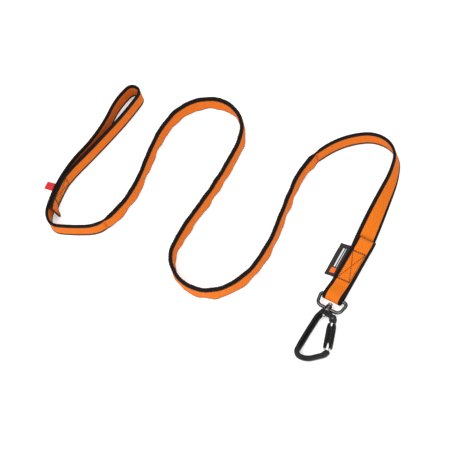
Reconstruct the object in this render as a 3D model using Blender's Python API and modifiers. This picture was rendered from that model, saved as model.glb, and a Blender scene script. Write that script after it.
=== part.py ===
"""Hand-held elastic lanyard, laid out in an S on its webbing's edge.

Metres, +Z up. The origin is on the ground in the middle of the face the flat sewn end rests on; the strap
leaves towards +Y and the carabiner lies towards -Y. The parts are laid out from a point below the swivel's
hub and moved to the origin at the end. One strap runs from the swivel eye to the hand loop. Its flat sewn
end turns on edge, an elastic core gathers its middle, and its far end is sewn back into a hand loop.
"""

import math

import bmesh
import bpy
from mathutils import Matrix, Vector

MM = 0.001
COLLECTION = "elastic_hand_lanyard"
UP = Vector((0, 0, 1))

# Webbing
WEB_WIDTH = 23.0 * MM
WEB_THICKNESS = 3.2 * MM
BUNGEE_THICKNESS = 4.2 * MM
TUBE_WALL = 1.1 * MM
EDGE_CHAMFER = 0.9 * MM
LAYER_GAP = 0.3 * MM
FIT_GAP = 0.25 * MM
STATION_STEP = 8.0 * MM
FLEX_GAP = 1.8 * MM
LOOP_FLEX_GAP = 2.4 * MM
STRETCH_GAP = 0.6 * MM
THICKNESS_RAMP = 10.0 * MM

# Elastic core inside the webbing's tube
CORE_WIDTH = 17.5 * MM
CORE_THICKNESS = 1.4 * MM
CORE_SETBACK = 9.0 * MM

# Plan path of the strap's centre line, from the eye's bar: arcs of (length in mm, turn in degrees, left positive)
PATH_START = (-1.7 * MM, 11.2 * MM)
PATH_HEADING = 92.0
LEGS = (
    (42, 0.9), (40, 2.8), (60, 0.4), (30, 14.8), (28, 56.1), (29, 45.6), (72, 48.4),
    (33, 19), (53, 2), (50, -16.5), (41, -30), (44, -56.5), (34, -42.5), (27, -41),
    (47, -9), (89, 10), (20, 18), (69, 95.5), (49, 53), (43, 19), (38, 0.5),
    (64, -28.5), (28, -44), (33, -8.5), (14, -54.5), (16, -37.5), (36, -13), (22, -7.5),
    (22, -9), (61, 20), (34, -22.5), (26, -168.5), (41, -6.5), (69, -3.5), (27, 16),
)

# Distances along the strap
REST_PLACE = 30.0 * MM
TAIL_END = 76.0 * MM
TAIL_SHIFT = 1.4 * MM
TAIL_SETTLE = 22.0 * MM
TWIST_START = 58.0 * MM
TWIST_END = 212.0 * MM
TWIST_EASE = 1.5
BUNGEE_START = 288.0 * MM
BUNGEE_END = 1008.0 * MM
END_FLEX = 91.0 * MM
FRONT_BEND = 210.0 * MM
STRETCH_FRONT = 426.0 * MM
LOWER_BEND = 526.0 * MM
STRETCH_MIDDLE = 655.0 * MM
UPPER_BEND = 788.0 * MM
STRETCH_REAR = 967.0 * MM
HANDLE_BEND = 1046.0 * MM
LOOP_FLEX = 1139.0 * MM
SEAM_BOTTOM = 1092.0 * MM
SEAM_FLARE = 1104.0 * MM
FLARE_ANGLE = 20.0
LOOP_END = 1420.2 * MM

# Swivel eye
EYE_WIRE_RADIUS = 1.9 * MM
EYE_TOP_HALF = 16.5 * MM
EYE_BOTTOM_HALF = 13.6 * MM
EYE_BOTTOM_Y = -3.1 * MM
EYE_TOP_CORNER = 2.2 * MM
EYE_BOTTOM_CORNER = 6.0 * MM
BAR_Y = 11.2 * MM
BOSS_RADIUS = 3.6 * MM
BOSS_ENDS = (-4.9 * MM, 1.2 * MM)
FOLD_RADIUS = EYE_WIRE_RADIUS + FIT_GAP + WEB_THICKNESS / 2
HARDWARE_Z = WEB_THICKNESS / 2 + FOLD_RADIUS

# Swivel pin and washer, along Y
PIN_RADIUS = 1.5 * MM
PIN_HEAD_RADIUS = 2.7 * MM
PIN_HEAD_Y = (1.5 * MM, 4.2 * MM)
PIN_STAKE_RADIUS = 2.2 * MM
PIN_STAKE_Y = (-13.4 * MM, -10.9 * MM)
WASHER_RADIUS = 3.3 * MM
WASHER_Y = (-5.65 * MM, -5.15 * MM)

# Carabiner: the gate turns about HINGE and points to the nose
HINGE = Vector((11.0 * MM, -10.7 * MM, HARDWARE_Z))
GATE_ANGLE = math.radians(-69.5)
GATE_LENGTH = 37.3 * MM
NOSE_DISTANCE = 37.8 * MM
EAR_RADIUS = 3.9 * MM
EAR_START = math.radians(149.3)
EAR_SWEEP = math.radians(238.9)
EAR_STEPS = 17
BODY_HALF_THICKNESS = 3.4 * MM
BODY_EDGE = 2.0 * MM
BARREL_RADIUS = 3.3 * MM
BARREL_START = 5.2 * MM
WAIST = (13.5 * MM, 26.0 * MM)
WAIST_RADIUS = 2.3 * MM
TONGUE_HALF_WIDTH = 2.9 * MM
TONGUE_Z = (-1.8 * MM, 0.1 * MM)
FORK_HALF_HEIGHT = 2.1 * MM
HINGE_PIN_RADIUS = 1.2 * MM
HINGE_PIN_LENGTH = 2 * BODY_HALF_THICKNESS - 0.4 * MM
HINGE_HOLE_RADIUS = 1.5 * MM
SLEEVE_SPAN = (6.2 * MM, 34.2 * MM)
SLEEVE_OUTER = 5.1 * MM
SLEEVE_INNER = 3.65 * MM
SLEEVE_FLUTE_DEPTH = 0.45 * MM
SLEEVE_FLUTES = 12
EAR_WINDOW_END = 10.6 * MM
EAR_WINDOW_HALF_WIDTH = 1.7 * MM
WINDOW_TIP = 28.5 * MM
WINDOW_SHOULDER = 31.5 * MM
WINDOW_HALF_WIDTH = 2.7 * MM
SPRING_WIRE = 0.3 * MM
SLEEVE_SPRING_RADIUS = 2.95 * MM
SLEEVE_SPRING_LENGTH = 9.5 * MM
GATE_SPRING_RADIUS = 2.15 * MM
GATE_SPRING_RISE = 0.9 * MM
GUIDE_PIN_RADIUS = 0.8 * MM
GUIDE_PIN_PLACE = 29.5 * MM

# Sewn-in label and tab, and threads
LABEL_LENGTH = 41.0 * MM
LABEL_WIDTH = 12.4 * MM
LABEL_THICKNESS = 0.9 * MM
LABEL_PLACE = 43.0 * MM
LABEL_STANDOFF = 0.6 * MM
TAB_LENGTH = 9.5 * MM
TAB_WIDTH = 11.0 * MM
TAB_THICKNESS = 0.8 * MM
TAB_DROOP = math.radians(10)
TAB_PLACE = 1118.0 * MM
THREAD_WIDTH = 0.9 * MM
THREAD_HEIGHT = 0.4 * MM
THREAD_GAP = 0.2 * MM
END_BOX = (37.0 * MM, 15.0 * MM)
END_BOX_PLACE = 40.5 * MM
LOOP_BOX = (30.0 * MM, 15.0 * MM)
LOOP_BOX_PLACE = 1121.0 * MM
BARTACK_LENGTH = 2.4 * MM
BARTACK_WIDTH = 18.0 * MM

# Modelling steps
ARC_STEP = math.radians(15)
FOLD_STEPS = 8
THROUGH = 20.0 * MM


# ---------------------------------------------------------------- scene, materials and objects


def clear_scene():
    for old in list(bpy.data.objects):
        bpy.data.objects.remove(old, do_unlink=True)


def make_collection(name):
    collection = bpy.data.collections.new(name)
    bpy.context.scene.collection.children.link(collection)
    return collection


def make_material(name, colour, roughness, metallic=0.0):
    material = bpy.data.materials.new(name)
    material.use_nodes = True
    shader = material.node_tree.nodes["Principled BSDF"]
    shader.inputs["Base Color"].default_value = (*colour, 1.0)
    shader.inputs["Roughness"].default_value = roughness
    shader.inputs["Metallic"].default_value = metallic
    return material


def add_object(name, mesh, material, pivot=Vector(), smooth=False):
    """Links a mesh whose points are in world space, with the object's origin moved to the pivot."""
    mesh.transform(Matrix.Translation(-pivot))
    mesh.name = name
    if material:
        mesh.materials.append(material)
    if smooth:
        mesh.shade_smooth()
        mesh.set_sharp_from_angle(angle=math.radians(35))
    made = bpy.data.objects.new(name, mesh)
    made.location = pivot
    PARTS.objects.link(made)
    return made


def as_cutter(made):
    PARTS.objects.unlink(made)
    CUTTERS.objects.link(made)
    made.hide_render = True
    made.display_type = "WIRE"
    return made


def boolean(target, tool, operation):
    modifier = target.modifiers.new(operation.lower(), "BOOLEAN")
    modifier.operation = operation
    modifier.object = as_cutter(tool)


def finished_mesh(made):
    """The object's evaluated mesh in world space, welded; the object is removed."""
    bpy.context.view_layer.update()
    graph = bpy.context.evaluated_depsgraph_get()
    mesh = bpy.data.meshes.new_from_object(made.evaluated_get(graph))
    mesh.transform(made.matrix_world)
    bm = bmesh.new()
    bm.from_mesh(mesh)
    bmesh.ops.remove_doubles(bm, verts=bm.verts, dist=0.001 * MM)
    bmesh.ops.recalc_face_normals(bm, faces=bm.faces)
    bm.to_mesh(mesh)
    bm.free()
    bpy.data.objects.remove(made)
    mesh.materials.clear()
    return mesh


# ---------------------------------------------------------------- shapes


def smoothstep(value):
    value = min(max(value, 0.0), 1.0)
    return value * value * (3 - 2 * value)


def stations(start, end, step=STATION_STEP):
    count = max(1, math.ceil(abs(end - start) / step - 1e-6))
    return [start + (end - start) * i / count for i in range(count + 1)]


def path_at(distance):
    """Plan point and heading of the strap's centre line."""
    x, y = PATH_START
    heading = math.radians(PATH_HEADING)
    for leg, degrees in LEGS:
        length = leg * MM
        turn = math.radians(degrees)
        step = min(distance, length)
        radius = length / turn
        swept = step / radius
        x += radius * (math.sin(heading + swept) - math.sin(heading))
        y -= radius * (math.cos(heading + swept) - math.cos(heading))
        heading += swept
        distance -= step
        if distance <= 0:
            break
    return Vector((x, y, 0)), heading


def frame_at(distance):
    """Centre, direction, across (lower edge to upper edge) and face normal of the strap.

    The strap lies flat at the swivel eye and turns on edge between TWIST_START and TWIST_END.
    """
    centre, heading = path_at(distance)
    share = min(max((distance - TWIST_START) / (TWIST_END - TWIST_START), 0.0), 1.0)
    tilt = math.radians(90) * (1 - share) ** TWIST_EASE
    along = Vector((math.cos(heading), math.sin(heading), 0))
    left = Vector((-along.y, along.x, 0))
    across = UP * math.cos(tilt) + left * math.sin(tilt)
    centre.z = WEB_WIDTH / 2 * math.cos(tilt) + WEB_THICKNESS / 2 * math.sin(tilt)
    return centre, along, across, along.cross(across)


def thickness_at(distance):
    rise = smoothstep((distance - BUNGEE_START) / THICKNESS_RAMP)
    fall = smoothstep((BUNGEE_END - distance) / THICKNESS_RAMP)
    return WEB_THICKNESS + (BUNGEE_THICKNESS - WEB_THICKNESS) * min(rise, fall)


def section(width, thickness, chamfer):
    """Rectangle with cut corners, as (across, normal) pairs in order."""
    a = width / 2
    b = thickness / 2
    quarter = [(a - chamfer, b), (a, b - chamfer)]
    right = [(x, -y) for x, y in reversed(quarter)]
    return [(-x, y) for x, y in reversed(quarter)] + quarter + right + [(-x, -y) for x, y in quarter]


def ring_of(bm, centre, across, normal, outline):
    return [bm.verts.new(centre + across * a + normal * b) for a, b in outline]


def bridge(bm, first, second):
    count = len(first)
    for i in range(count):
        j = (i + 1) % count
        bm.faces.new((first[i], first[j], second[j], second[i]))


def strap_mesh(frames, wall=0.0):
    """Lofts a strap through frames of (centre, across, normal, width, thickness); a wall makes it a tube."""
    bm = bmesh.new()
    outer = []
    inner = []
    for centre, across, normal, width, thickness in frames:
        outer.append(ring_of(bm, centre, across, normal, section(width, thickness, EDGE_CHAMFER)))
        if wall:
            outline = section(width - 2 * wall, thickness - 2 * wall, 0.3 * MM)
            inner.append(ring_of(bm, centre, across, normal, outline))
    for rings in (outer, inner):
        for first, second in zip(rings, rings[1:]):
            bridge(bm, first, second)
    if wall:
        bridge(bm, outer[0], inner[0])
        bridge(bm, outer[-1], inner[-1])
    else:
        bm.faces.new(outer[0])
        bm.faces.new(outer[-1])
    bmesh.ops.recalc_face_normals(bm, faces=bm.faces)
    mesh = bpy.data.meshes.new("strap")
    bm.to_mesh(mesh)
    bm.free()
    return mesh


def strap_piece(name, start, end, pivot, material, wall=0.0):
    frames = []
    for distance in stations(start, end):
        centre, _, across, normal = frame_at(distance)
        frames.append((centre, across, normal, WEB_WIDTH, thickness_at(distance)))
    return add_object(name, strap_mesh(frames, wall), material, pivot)


def core_piece(name, start, end, pivot, material):
    frames = []
    for distance in stations(start, end):
        centre, _, across, normal = frame_at(distance)
        frames.append((centre, across, normal))
    bm = bmesh.new()
    outline = section(CORE_WIDTH, CORE_THICKNESS, 0.4 * MM)
    rings = [ring_of(bm, *frame, outline) for frame in frames]
    for first, second in zip(rings, rings[1:]):
        bridge(bm, first, second)
    bm.faces.new(rings[0])
    bm.faces.new(rings[-1])
    bmesh.ops.recalc_face_normals(bm, faces=bm.faces)
    mesh = bpy.data.meshes.new(name)
    bm.to_mesh(mesh)
    bm.free()
    return add_object(name, mesh, material, pivot)


def rounded(corners):
    """Points of a polygon whose corners (x, y, radius) are replaced by arcs."""
    points = []
    count = len(corners)
    for i, (x, y, radius) in enumerate(corners):
        corner = Vector((x, y))
        to_last = (Vector(corners[i - 1][:2]) - corner).normalized()
        to_next = (Vector(corners[(i + 1) % count][:2]) - corner).normalized()
        if radius <= 0:
            points.append(corner)
            continue
        half = to_last.angle(to_next) / 2
        centre = corner + (to_last + to_next).normalized() * (radius / math.sin(half))
        start = corner + to_last * (radius / math.tan(half)) - centre
        sweep = math.pi - 2 * half
        side = 1 if to_last.cross(to_next) < 0 else -1
        steps = max(1, math.ceil(sweep / ARC_STEP - 1e-6))
        for k in range(steps + 1):
            angle = side * sweep * k / steps
            turned = Vector((start.x * math.cos(angle) - start.y * math.sin(angle),
                             start.x * math.sin(angle) + start.y * math.cos(angle)))
            points.append(centre + turned)
    return points


def circle_points(radius, count, x=0.0, y=0.0):
    step = math.tau / count
    return [(x + radius * math.cos(step * i), y + radius * math.sin(step * i)) for i in range(count)]


def plate_mesh(outlines, half_thickness, edge=0.0):
    """A flat plate in XY from closed outlines, its rims rounded by edge; the inner outlines are holes."""
    curve = bpy.data.curves.new("plate", "CURVE")
    curve.dimensions = "2D"
    curve.fill_mode = "BOTH"
    curve.extrude = half_thickness - edge
    curve.bevel_depth = edge
    curve.bevel_resolution = 1
    curve.offset = -edge
    for outline in outlines:
        spline = curve.splines.new("POLY")
        spline.points.add(len(outline) - 1)
        spline.use_cyclic_u = True
        for point, place in zip(spline.points, outline):
            point.co = (place[0], place[1], 0, 1)
    made = bpy.data.objects.new("plate", curve)
    PARTS.objects.link(made)
    return finished_mesh(made)


def wire_mesh(points, radius, cyclic=False, resolution=2):
    """A round wire through the points."""
    curve = bpy.data.curves.new("wire", "CURVE")
    curve.dimensions = "3D"
    curve.bevel_depth = radius
    curve.bevel_resolution = resolution
    curve.use_fill_caps = True
    curve.twist_mode = "MINIMUM"
    spline = curve.splines.new("POLY")
    spline.points.add(len(points) - 1)
    spline.use_cyclic_u = cyclic
    for point, place in zip(spline.points, points):
        point.co = (*place, 1)
    made = bpy.data.objects.new("wire", curve)
    PARTS.objects.link(made)
    return finished_mesh(made)


def turned_mesh(profile, steps=24):
    """A solid of revolution about Z from (radius, height) pairs listed from the top down."""
    mesh = bpy.data.meshes.new("turned")
    points = [(radius, 0, height) for radius, height in profile]
    edges = [(i, i + 1) for i in range(len(points) - 1)]
    mesh.from_pydata(points, edges, [])
    made = bpy.data.objects.new("turned", mesh)
    PARTS.objects.link(made)
    screw = made.modifiers.new("turn", "SCREW")
    screw.steps = steps
    screw.render_steps = steps
    screw.use_merge_vertices = True
    screw.merge_threshold = 0.001 * MM
    return finished_mesh(made)


def coil_points(radius, length, turns, per_turn=10):
    count = int(turns * per_turn)
    for i in range(count + 1):
        angle = math.tau * i / per_turn
        yield Vector((radius * math.cos(angle), radius * math.sin(angle), length * i / count))


def cylinder_cutter(name, radius, length, matrix, vertices=24):
    bm = bmesh.new()
    bmesh.ops.create_cone(bm, cap_ends=True, segments=vertices, radius1=radius, radius2=radius,
                          depth=length, matrix=matrix)
    mesh = bpy.data.meshes.new(name)
    bm.to_mesh(mesh)
    bm.free()
    return add_object(name, mesh, None)


def box_cutter(name, low, high, matrix):
    bm = bmesh.new()
    size = Vector(high) - Vector(low)
    centre = (Vector(high) + Vector(low)) / 2
    place = matrix @ Matrix.Translation(centre) @ Matrix.Diagonal((*size, 1))
    bmesh.ops.create_cube(bm, size=1.0, matrix=place)
    mesh = bpy.data.meshes.new(name)
    bm.to_mesh(mesh)
    bm.free()
    return add_object(name, mesh, None)


# ---------------------------------------------------------------- webbing


def tail_height(distance):
    """Height of the tail layer's centre above the main layer's, from the fold to the seam."""
    seam = WEB_THICKNESS + LAYER_GAP
    return seam + (2 * FOLD_RADIUS - seam) * (1 - smoothstep(distance / TAIL_SETTLE))


def make_sewn_end(material):
    """Flat end of the strap: main layer, fold round the eye's bar, tail on top."""
    frames = []
    for distance in stations(END_FLEX - FLEX_GAP / 2, 0):
        centre, _, across, normal = frame_at(distance)
        frames.append((centre, across, normal, WEB_WIDTH, WEB_THICKNESS))
    bar = Vector((PATH_START[0], BAR_Y, HARDWARE_Z))
    across = Vector((-1, 0, 0))
    for i in range(1, FOLD_STEPS + 1):
        angle = math.pi * i / FOLD_STEPS
        inward = Vector((0, math.sin(angle), math.cos(angle)))
        frames.append((bar - inward * FOLD_RADIUS, across, inward, WEB_WIDTH, WEB_THICKNESS))
    for distance in stations(0, TAIL_END, STATION_STEP / 2)[1:]:
        centre, _, across, normal = frame_at(distance)
        shift = TAIL_SHIFT * smoothstep(distance / TAIL_END)
        place = centre + normal * tail_height(distance) - across * shift
        frames.append((place, across, -normal, WEB_WIDTH, WEB_THICKNESS))
    return add_object("web_sewn_end", strap_mesh(frames), material)


def seam_frame(distance):
    """Centre, across and normal of the strap's return layer in the hand loop's seam.

    Below SEAM_FLARE the cut end's lower edge leans away from the main layer.
    """
    centre, _, across, normal = frame_at(distance)
    place = centre + normal * (WEB_THICKNESS + LAYER_GAP)
    share = smoothstep((SEAM_FLARE - distance) / (SEAM_FLARE - SEAM_BOTTOM))
    lean = math.radians(FLARE_ANGLE) * share
    top = place + across * (WEB_WIDTH / 2)
    leaning = across * math.cos(lean) - normal * math.sin(lean)
    facing = normal * math.cos(lean) + across * math.sin(lean)
    return top - leaning * (WEB_WIDTH / 2), leaning, facing


def make_loop_tail(material, pivot):
    frames = []
    for distance in stations(SEAM_BOTTOM, LOOP_FLEX - LOOP_FLEX_GAP / 2, STATION_STEP / 2):
        frames.append((*seam_frame(distance), WEB_WIDTH, WEB_THICKNESS))
    return add_object("web_handle_tail", strap_mesh(frames), material, pivot)


def make_webbing(web, core):
    """The strap's lengths between its flex points, and the elastic core's lengths inside them."""
    half = FLEX_GAP / 2
    slit = STRETCH_GAP / 2
    make_sewn_end(web)
    lengths = (
        ("web_twist", END_FLEX + half, FRONT_BEND - half, END_FLEX, 0.0),
        ("web_bungee_1", FRONT_BEND + half, STRETCH_FRONT - slit, FRONT_BEND, TUBE_WALL),
        ("web_bungee_2", STRETCH_FRONT + slit, LOWER_BEND - half, STRETCH_FRONT, TUBE_WALL),
        ("web_bungee_3", LOWER_BEND + half, STRETCH_MIDDLE - slit, LOWER_BEND, TUBE_WALL),
        ("web_bungee_4", STRETCH_MIDDLE + slit, UPPER_BEND - half, STRETCH_MIDDLE, TUBE_WALL),
        ("web_bungee_5", UPPER_BEND + half, STRETCH_REAR - slit, UPPER_BEND, TUBE_WALL),
        ("web_bungee_6", STRETCH_REAR + slit, HANDLE_BEND - half, STRETCH_REAR, TUBE_WALL),
        ("web_handle_base", HANDLE_BEND + half, LOOP_FLEX - LOOP_FLEX_GAP / 2, HANDLE_BEND, 0.0),
        ("web_handle_loop", LOOP_FLEX + LOOP_FLEX_GAP / 2, LOOP_END, LOOP_FLEX, 0.0),
    )
    for name, start, end, joint, wall in lengths:
        strap_piece(name, start, end, frame_at(joint)[0], web, wall)
        if wall:
            first = max(start, BUNGEE_START + CORE_SETBACK)
            last = min(end, BUNGEE_END - CORE_SETBACK)
            core_name = name.replace("web_bungee", "elastic_core")
            core_piece(core_name, first, last, frame_at(joint)[0], core)
    make_loop_tail(web, frame_at(HANDLE_BEND)[0])


# ---------------------------------------------------------------- threads, label and tab


def crossed_box(length, width, thread, step=4.0 * MM):
    """Outlines of a sewn box with its two diagonals: the frame and its four triangular holes."""
    a = length / 2
    b = width / 2
    outer = [(-a, -b), (a, -b), (a, b), (-a, b)]
    slope = math.atan2(width, length)
    gap_x = thread / 2 / math.sin(slope)
    gap_y = thread / 2 / math.cos(slope)
    ia = a - thread
    ib = b - thread
    run = ib / math.tan(slope)
    rise = ia * math.tan(slope)
    side = [(ia, rise - gap_y), (gap_x, 0), (ia, gap_y - rise)]
    cap = [(run - gap_x, ib), (0, gap_y), (gap_x - run, ib)]
    holes = [side, [(-x, y) for x, y in side], cap, [(x, -y) for x, y in cap]]
    return [divided(outline, step) for outline in [outer, *holes]]


def divided(outline, step):
    """The outline with points added so that none are further apart than step."""
    points = []
    for i, start in enumerate(outline):
        first = Vector(start)
        last = Vector(outline[(i + 1) % len(outline)])
        count = max(1, math.ceil((last - first).length / step))
        points += [tuple(first.lerp(last, k / count)) for k in range(count)]
    return points


def sewn_on(name, mesh, place, layer, material, pivot=Vector()):
    """Wraps a flat thread pattern on a strap layer: x runs along the strap, y across, z out of the face."""
    for vertex in mesh.vertices:
        centre, across, outward = layer(place + vertex.co.x)
        vertex.co = centre + across * vertex.co.y + outward * vertex.co.z
    bm = bmesh.new()
    bm.from_mesh(mesh)
    bmesh.ops.recalc_face_normals(bm, faces=bm.faces)
    bm.to_mesh(mesh)
    bm.free()
    return add_object(name, mesh, material, pivot)


def raised(mesh, height):
    mesh.transform(Matrix.Translation((0, 0, height)))
    return mesh


def tail_top(distance):
    centre, _, across, normal = frame_at(distance)
    shift = TAIL_SHIFT * smoothstep(distance / TAIL_END)
    lift = tail_height(distance) + WEB_THICKNESS / 2
    return centre + normal * lift - across * shift, across, normal


def seam_face(distance):
    centre, across, normal = seam_frame(distance)
    return centre + normal * (WEB_THICKNESS / 2), across, normal


def near_face(distance):
    """The strap's face on the inside of the S's first bend."""
    centre, _, across, normal = frame_at(distance)
    return centre - normal * (thickness_at(distance) / 2), across, -normal


def make_threads(material):
    lift = THREAD_GAP + THREAD_HEIGHT / 2
    box = plate_mesh(crossed_box(*END_BOX, THREAD_WIDTH), THREAD_HEIGHT / 2)
    sewn_on("box_stitch_end", raised(box, lift), END_BOX_PLACE, tail_top, material)
    box = plate_mesh(crossed_box(*LOOP_BOX, THREAD_WIDTH), THREAD_HEIGHT / 2)
    pivot = frame_at(HANDLE_BEND)[0]
    sewn_on("box_stitch_handle", raised(box, lift), LOOP_BOX_PLACE, seam_face, material, pivot)
    tacks = (("bartack_front", BUNGEE_START - BARTACK_LENGTH, FRONT_BEND),
             ("bartack_rear", BUNGEE_END + BARTACK_LENGTH, STRETCH_REAR))
    for name, place, joint in tacks:
        a = BARTACK_LENGTH / 2
        b = BARTACK_WIDTH / 2
        outline = divided([(-a, -b), (a, -b), (a, b), (-a, b)], BARTACK_LENGTH)
        plate = plate_mesh([outline], THREAD_HEIGHT / 2)
        sewn_on(name, raised(plate, lift + FIT_GAP), place, near_face, material, frame_at(joint)[0])


def label_matrix():
    """The label's hinge line: x points away from the strap's left edge, y back along the strap, z up."""
    centre, along, across, normal = frame_at(LABEL_PLACE)
    root = centre + across * (WEB_WIDTH / 2 + LABEL_STANDOFF) + normal * (WEB_THICKNESS / 2 + LAYER_GAP / 2)
    turn = Matrix((across, -along, normal)).transposed().to_4x4()
    return Matrix.Translation(root) @ turn


def tab_matrix():
    """The tab's hinge line on the strap's top edge: x points outwards and down, y along the strap."""
    centre, along, across, normal = frame_at(TAB_PLACE)
    outward = -normal * math.cos(TAB_DROOP) - across * math.sin(TAB_DROOP)
    rise = WEB_WIDTH / 2 + TAB_THICKNESS
    root = centre + across * rise - normal * (WEB_THICKNESS / 2)
    turn = Matrix((outward, along, outward.cross(along))).transposed().to_4x4()
    return Matrix.Translation(root) @ turn


def make_flap(name, length, width, thickness, corner, matrix, material):
    """A sewn-in textile flap, hinged along its root edge."""
    b = width / 2
    outline = rounded([(0, -b, 0), (length, -b, corner), (length, b, corner), (0, b, 0)])
    mesh = plate_mesh([outline], thickness / 2)
    flap = add_object(name, mesh, material)
    flap.matrix_world = matrix
    return flap


# ---------------------------------------------------------------- swivel


def along_y(y=0.0):
    """Turns a shape modelled on Z so that its axis is Y through the swivel, with its z measured from y."""
    turn = Matrix(((1, 0, 0), (0, 0, 1), (0, -1, 0))).to_4x4()
    return Matrix.Translation((0, y, HARDWARE_Z)) @ turn


def make_eye(material):
    corners = (
        (-EYE_TOP_HALF, BAR_Y, EYE_TOP_CORNER), (EYE_TOP_HALF, BAR_Y, EYE_TOP_CORNER),
        (EYE_BOTTOM_HALF, EYE_BOTTOM_Y, EYE_BOTTOM_CORNER),
        (-EYE_BOTTOM_HALF, EYE_BOTTOM_Y, EYE_BOTTOM_CORNER),
    )
    points = [Vector((p[0], p[1], HARDWARE_Z)) for p in rounded(corners)]
    pivot = Vector((0, BAR_Y, HARDWARE_Z))
    eye = add_object("swivel_eye", wire_mesh(points, EYE_WIRE_RADIUS, cyclic=True, resolution=3),
                     material, pivot, smooth=True)
    low, high = BOSS_ENDS
    boss_place = along_y((low + high) / 2)
    boss = cylinder_cutter("eye_boss", BOSS_RADIUS, high - low, boss_place)
    boolean(eye, boss, "UNION")
    bore = cylinder_cutter("eye_bore", PIN_RADIUS + FIT_GAP, 2 * (high - low), boss_place)
    boolean(eye, bore, "DIFFERENCE")
    return eye


def make_swivel_pin(material):
    """Rivet through the eye and the carabiner's hub: domed head, shank, staked end."""
    head_low, head_high = PIN_HEAD_Y
    stake_low, stake_high = PIN_STAKE_Y
    profile = [
        (0, head_high), (PIN_HEAD_RADIUS * 0.6, head_high - 0.2 * MM), (PIN_HEAD_RADIUS, head_high - 1.2 * MM),
        (PIN_HEAD_RADIUS, head_low), (PIN_RADIUS, head_low), (PIN_RADIUS, stake_high),
        (PIN_STAKE_RADIUS, stake_high), (PIN_STAKE_RADIUS, stake_low + 0.8 * MM),
        (PIN_STAKE_RADIUS * 0.6, stake_low), (0, stake_low),
    ]
    mesh = turned_mesh(profile)
    mesh.transform(along_y())
    return add_object("swivel_pin", mesh, material, Vector((0, 0, HARDWARE_Z)), smooth=True)


def make_washer(material):
    low, high = WASHER_Y
    inner = PIN_RADIUS + FIT_GAP
    mesh = turned_mesh([(inner, high), (WASHER_RADIUS, high), (WASHER_RADIUS, low), (inner, low), (inner, high)])
    mesh.transform(along_y())
    return add_object("swivel_washer", mesh, material, Vector((0, 0, HARDWARE_Z)), smooth=True)


# ---------------------------------------------------------------- carabiner


def gate_axis(distance, side=0.0):
    """Plan point at a distance from the hinge along the closed gate; side is towards the outside."""
    along = Vector((math.cos(GATE_ANGLE), math.sin(GATE_ANGLE)))
    outside = Vector((-along.y, along.x))
    return HINGE.xy + along * distance + outside * side


def gate_place():
    """Gate's own axes: x from the hinge to the nose, z up."""
    return Matrix.Translation(HINGE) @ Matrix.Rotation(GATE_ANGLE, 4, "Z")


def gate_turned():
    """Lays a shape turned about Z along the gate, with z measured from the hinge."""
    return gate_place() @ Matrix(((0, 0, 1), (0, 1, 0), (-1, 0, 0))).to_4x4()


def ear_arc():
    """Round ear about the hinge, from the hub round to the gate side."""
    points = []
    for i in range(EAR_STEPS + 1):
        angle = GATE_ANGLE + EAR_START - EAR_SWEEP * i / EAR_STEPS
        points.append((HINGE.x + EAR_RADIUS * math.cos(angle), HINGE.y + EAR_RADIUS * math.sin(angle), 0))
    return points


def body_outline():
    """The forged C: hub, round hinge ear, gate side left open, nose, basket and spine."""
    hub = [(-4.7, -5.9, 2.2), (6.6, -5.9, 2.4)]
    inside = [(5.0, -10.7, 0.6), (-3.0, -10.6, 0.9), (-2.3, -36.0, 90.0), (-2.4, -62.8, 3.6)]
    basket = [(8.2, -61.2, 20.0), (20.2, -51.8, 3.0)]
    nose = [(*gate_axis(NOSE_DISTANCE, -2.3 * MM), 2.1 * MM), (*gate_axis(NOSE_DISTANCE, 4.8 * MM), 1.9 * MM)]
    outside = [(26.2, -50.0, 6.0), (10.4, -66.9, 15.0), (-6.8, -67.0, 9.0), (-7.8, -34.0, 90.0), (-7.4, -17.5, 14.0)]
    corners = millimetres(hub) + ear_arc() + millimetres(inside + basket) + nose + millimetres(outside)
    return rounded(corners)


def millimetres(corners):
    return [(x * MM, y * MM, radius * MM) for x, y, radius in corners]


def make_body(material):
    mesh = plate_mesh([body_outline()], BODY_HALF_THICKNESS, BODY_EDGE)
    mesh.transform(Matrix.Translation((0, 0, HARDWARE_Z)))
    body = add_object("carabiner_body", mesh, material, Vector((0, 0, HARDWARE_Z)), smooth=True)
    bore = cylinder_cutter("hub_bore", PIN_RADIUS + FIT_GAP, THROUGH, along_y(2 * EYE_BOTTOM_Y))
    boolean(body, bore, "DIFFERENCE")
    slot = box_cutter("fork_slot", (-4.2 * MM, -8 * MM, -FORK_HALF_HEIGHT),
                      (8 * MM, 8 * MM, FORK_HALF_HEIGHT), gate_place())
    boolean(body, slot, "DIFFERENCE")
    hole = cylinder_cutter("hinge_hole", HINGE_HOLE_RADIUS, THROUGH, Matrix.Translation(HINGE))
    boolean(body, hole, "DIFFERENCE")
    return body


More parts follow.
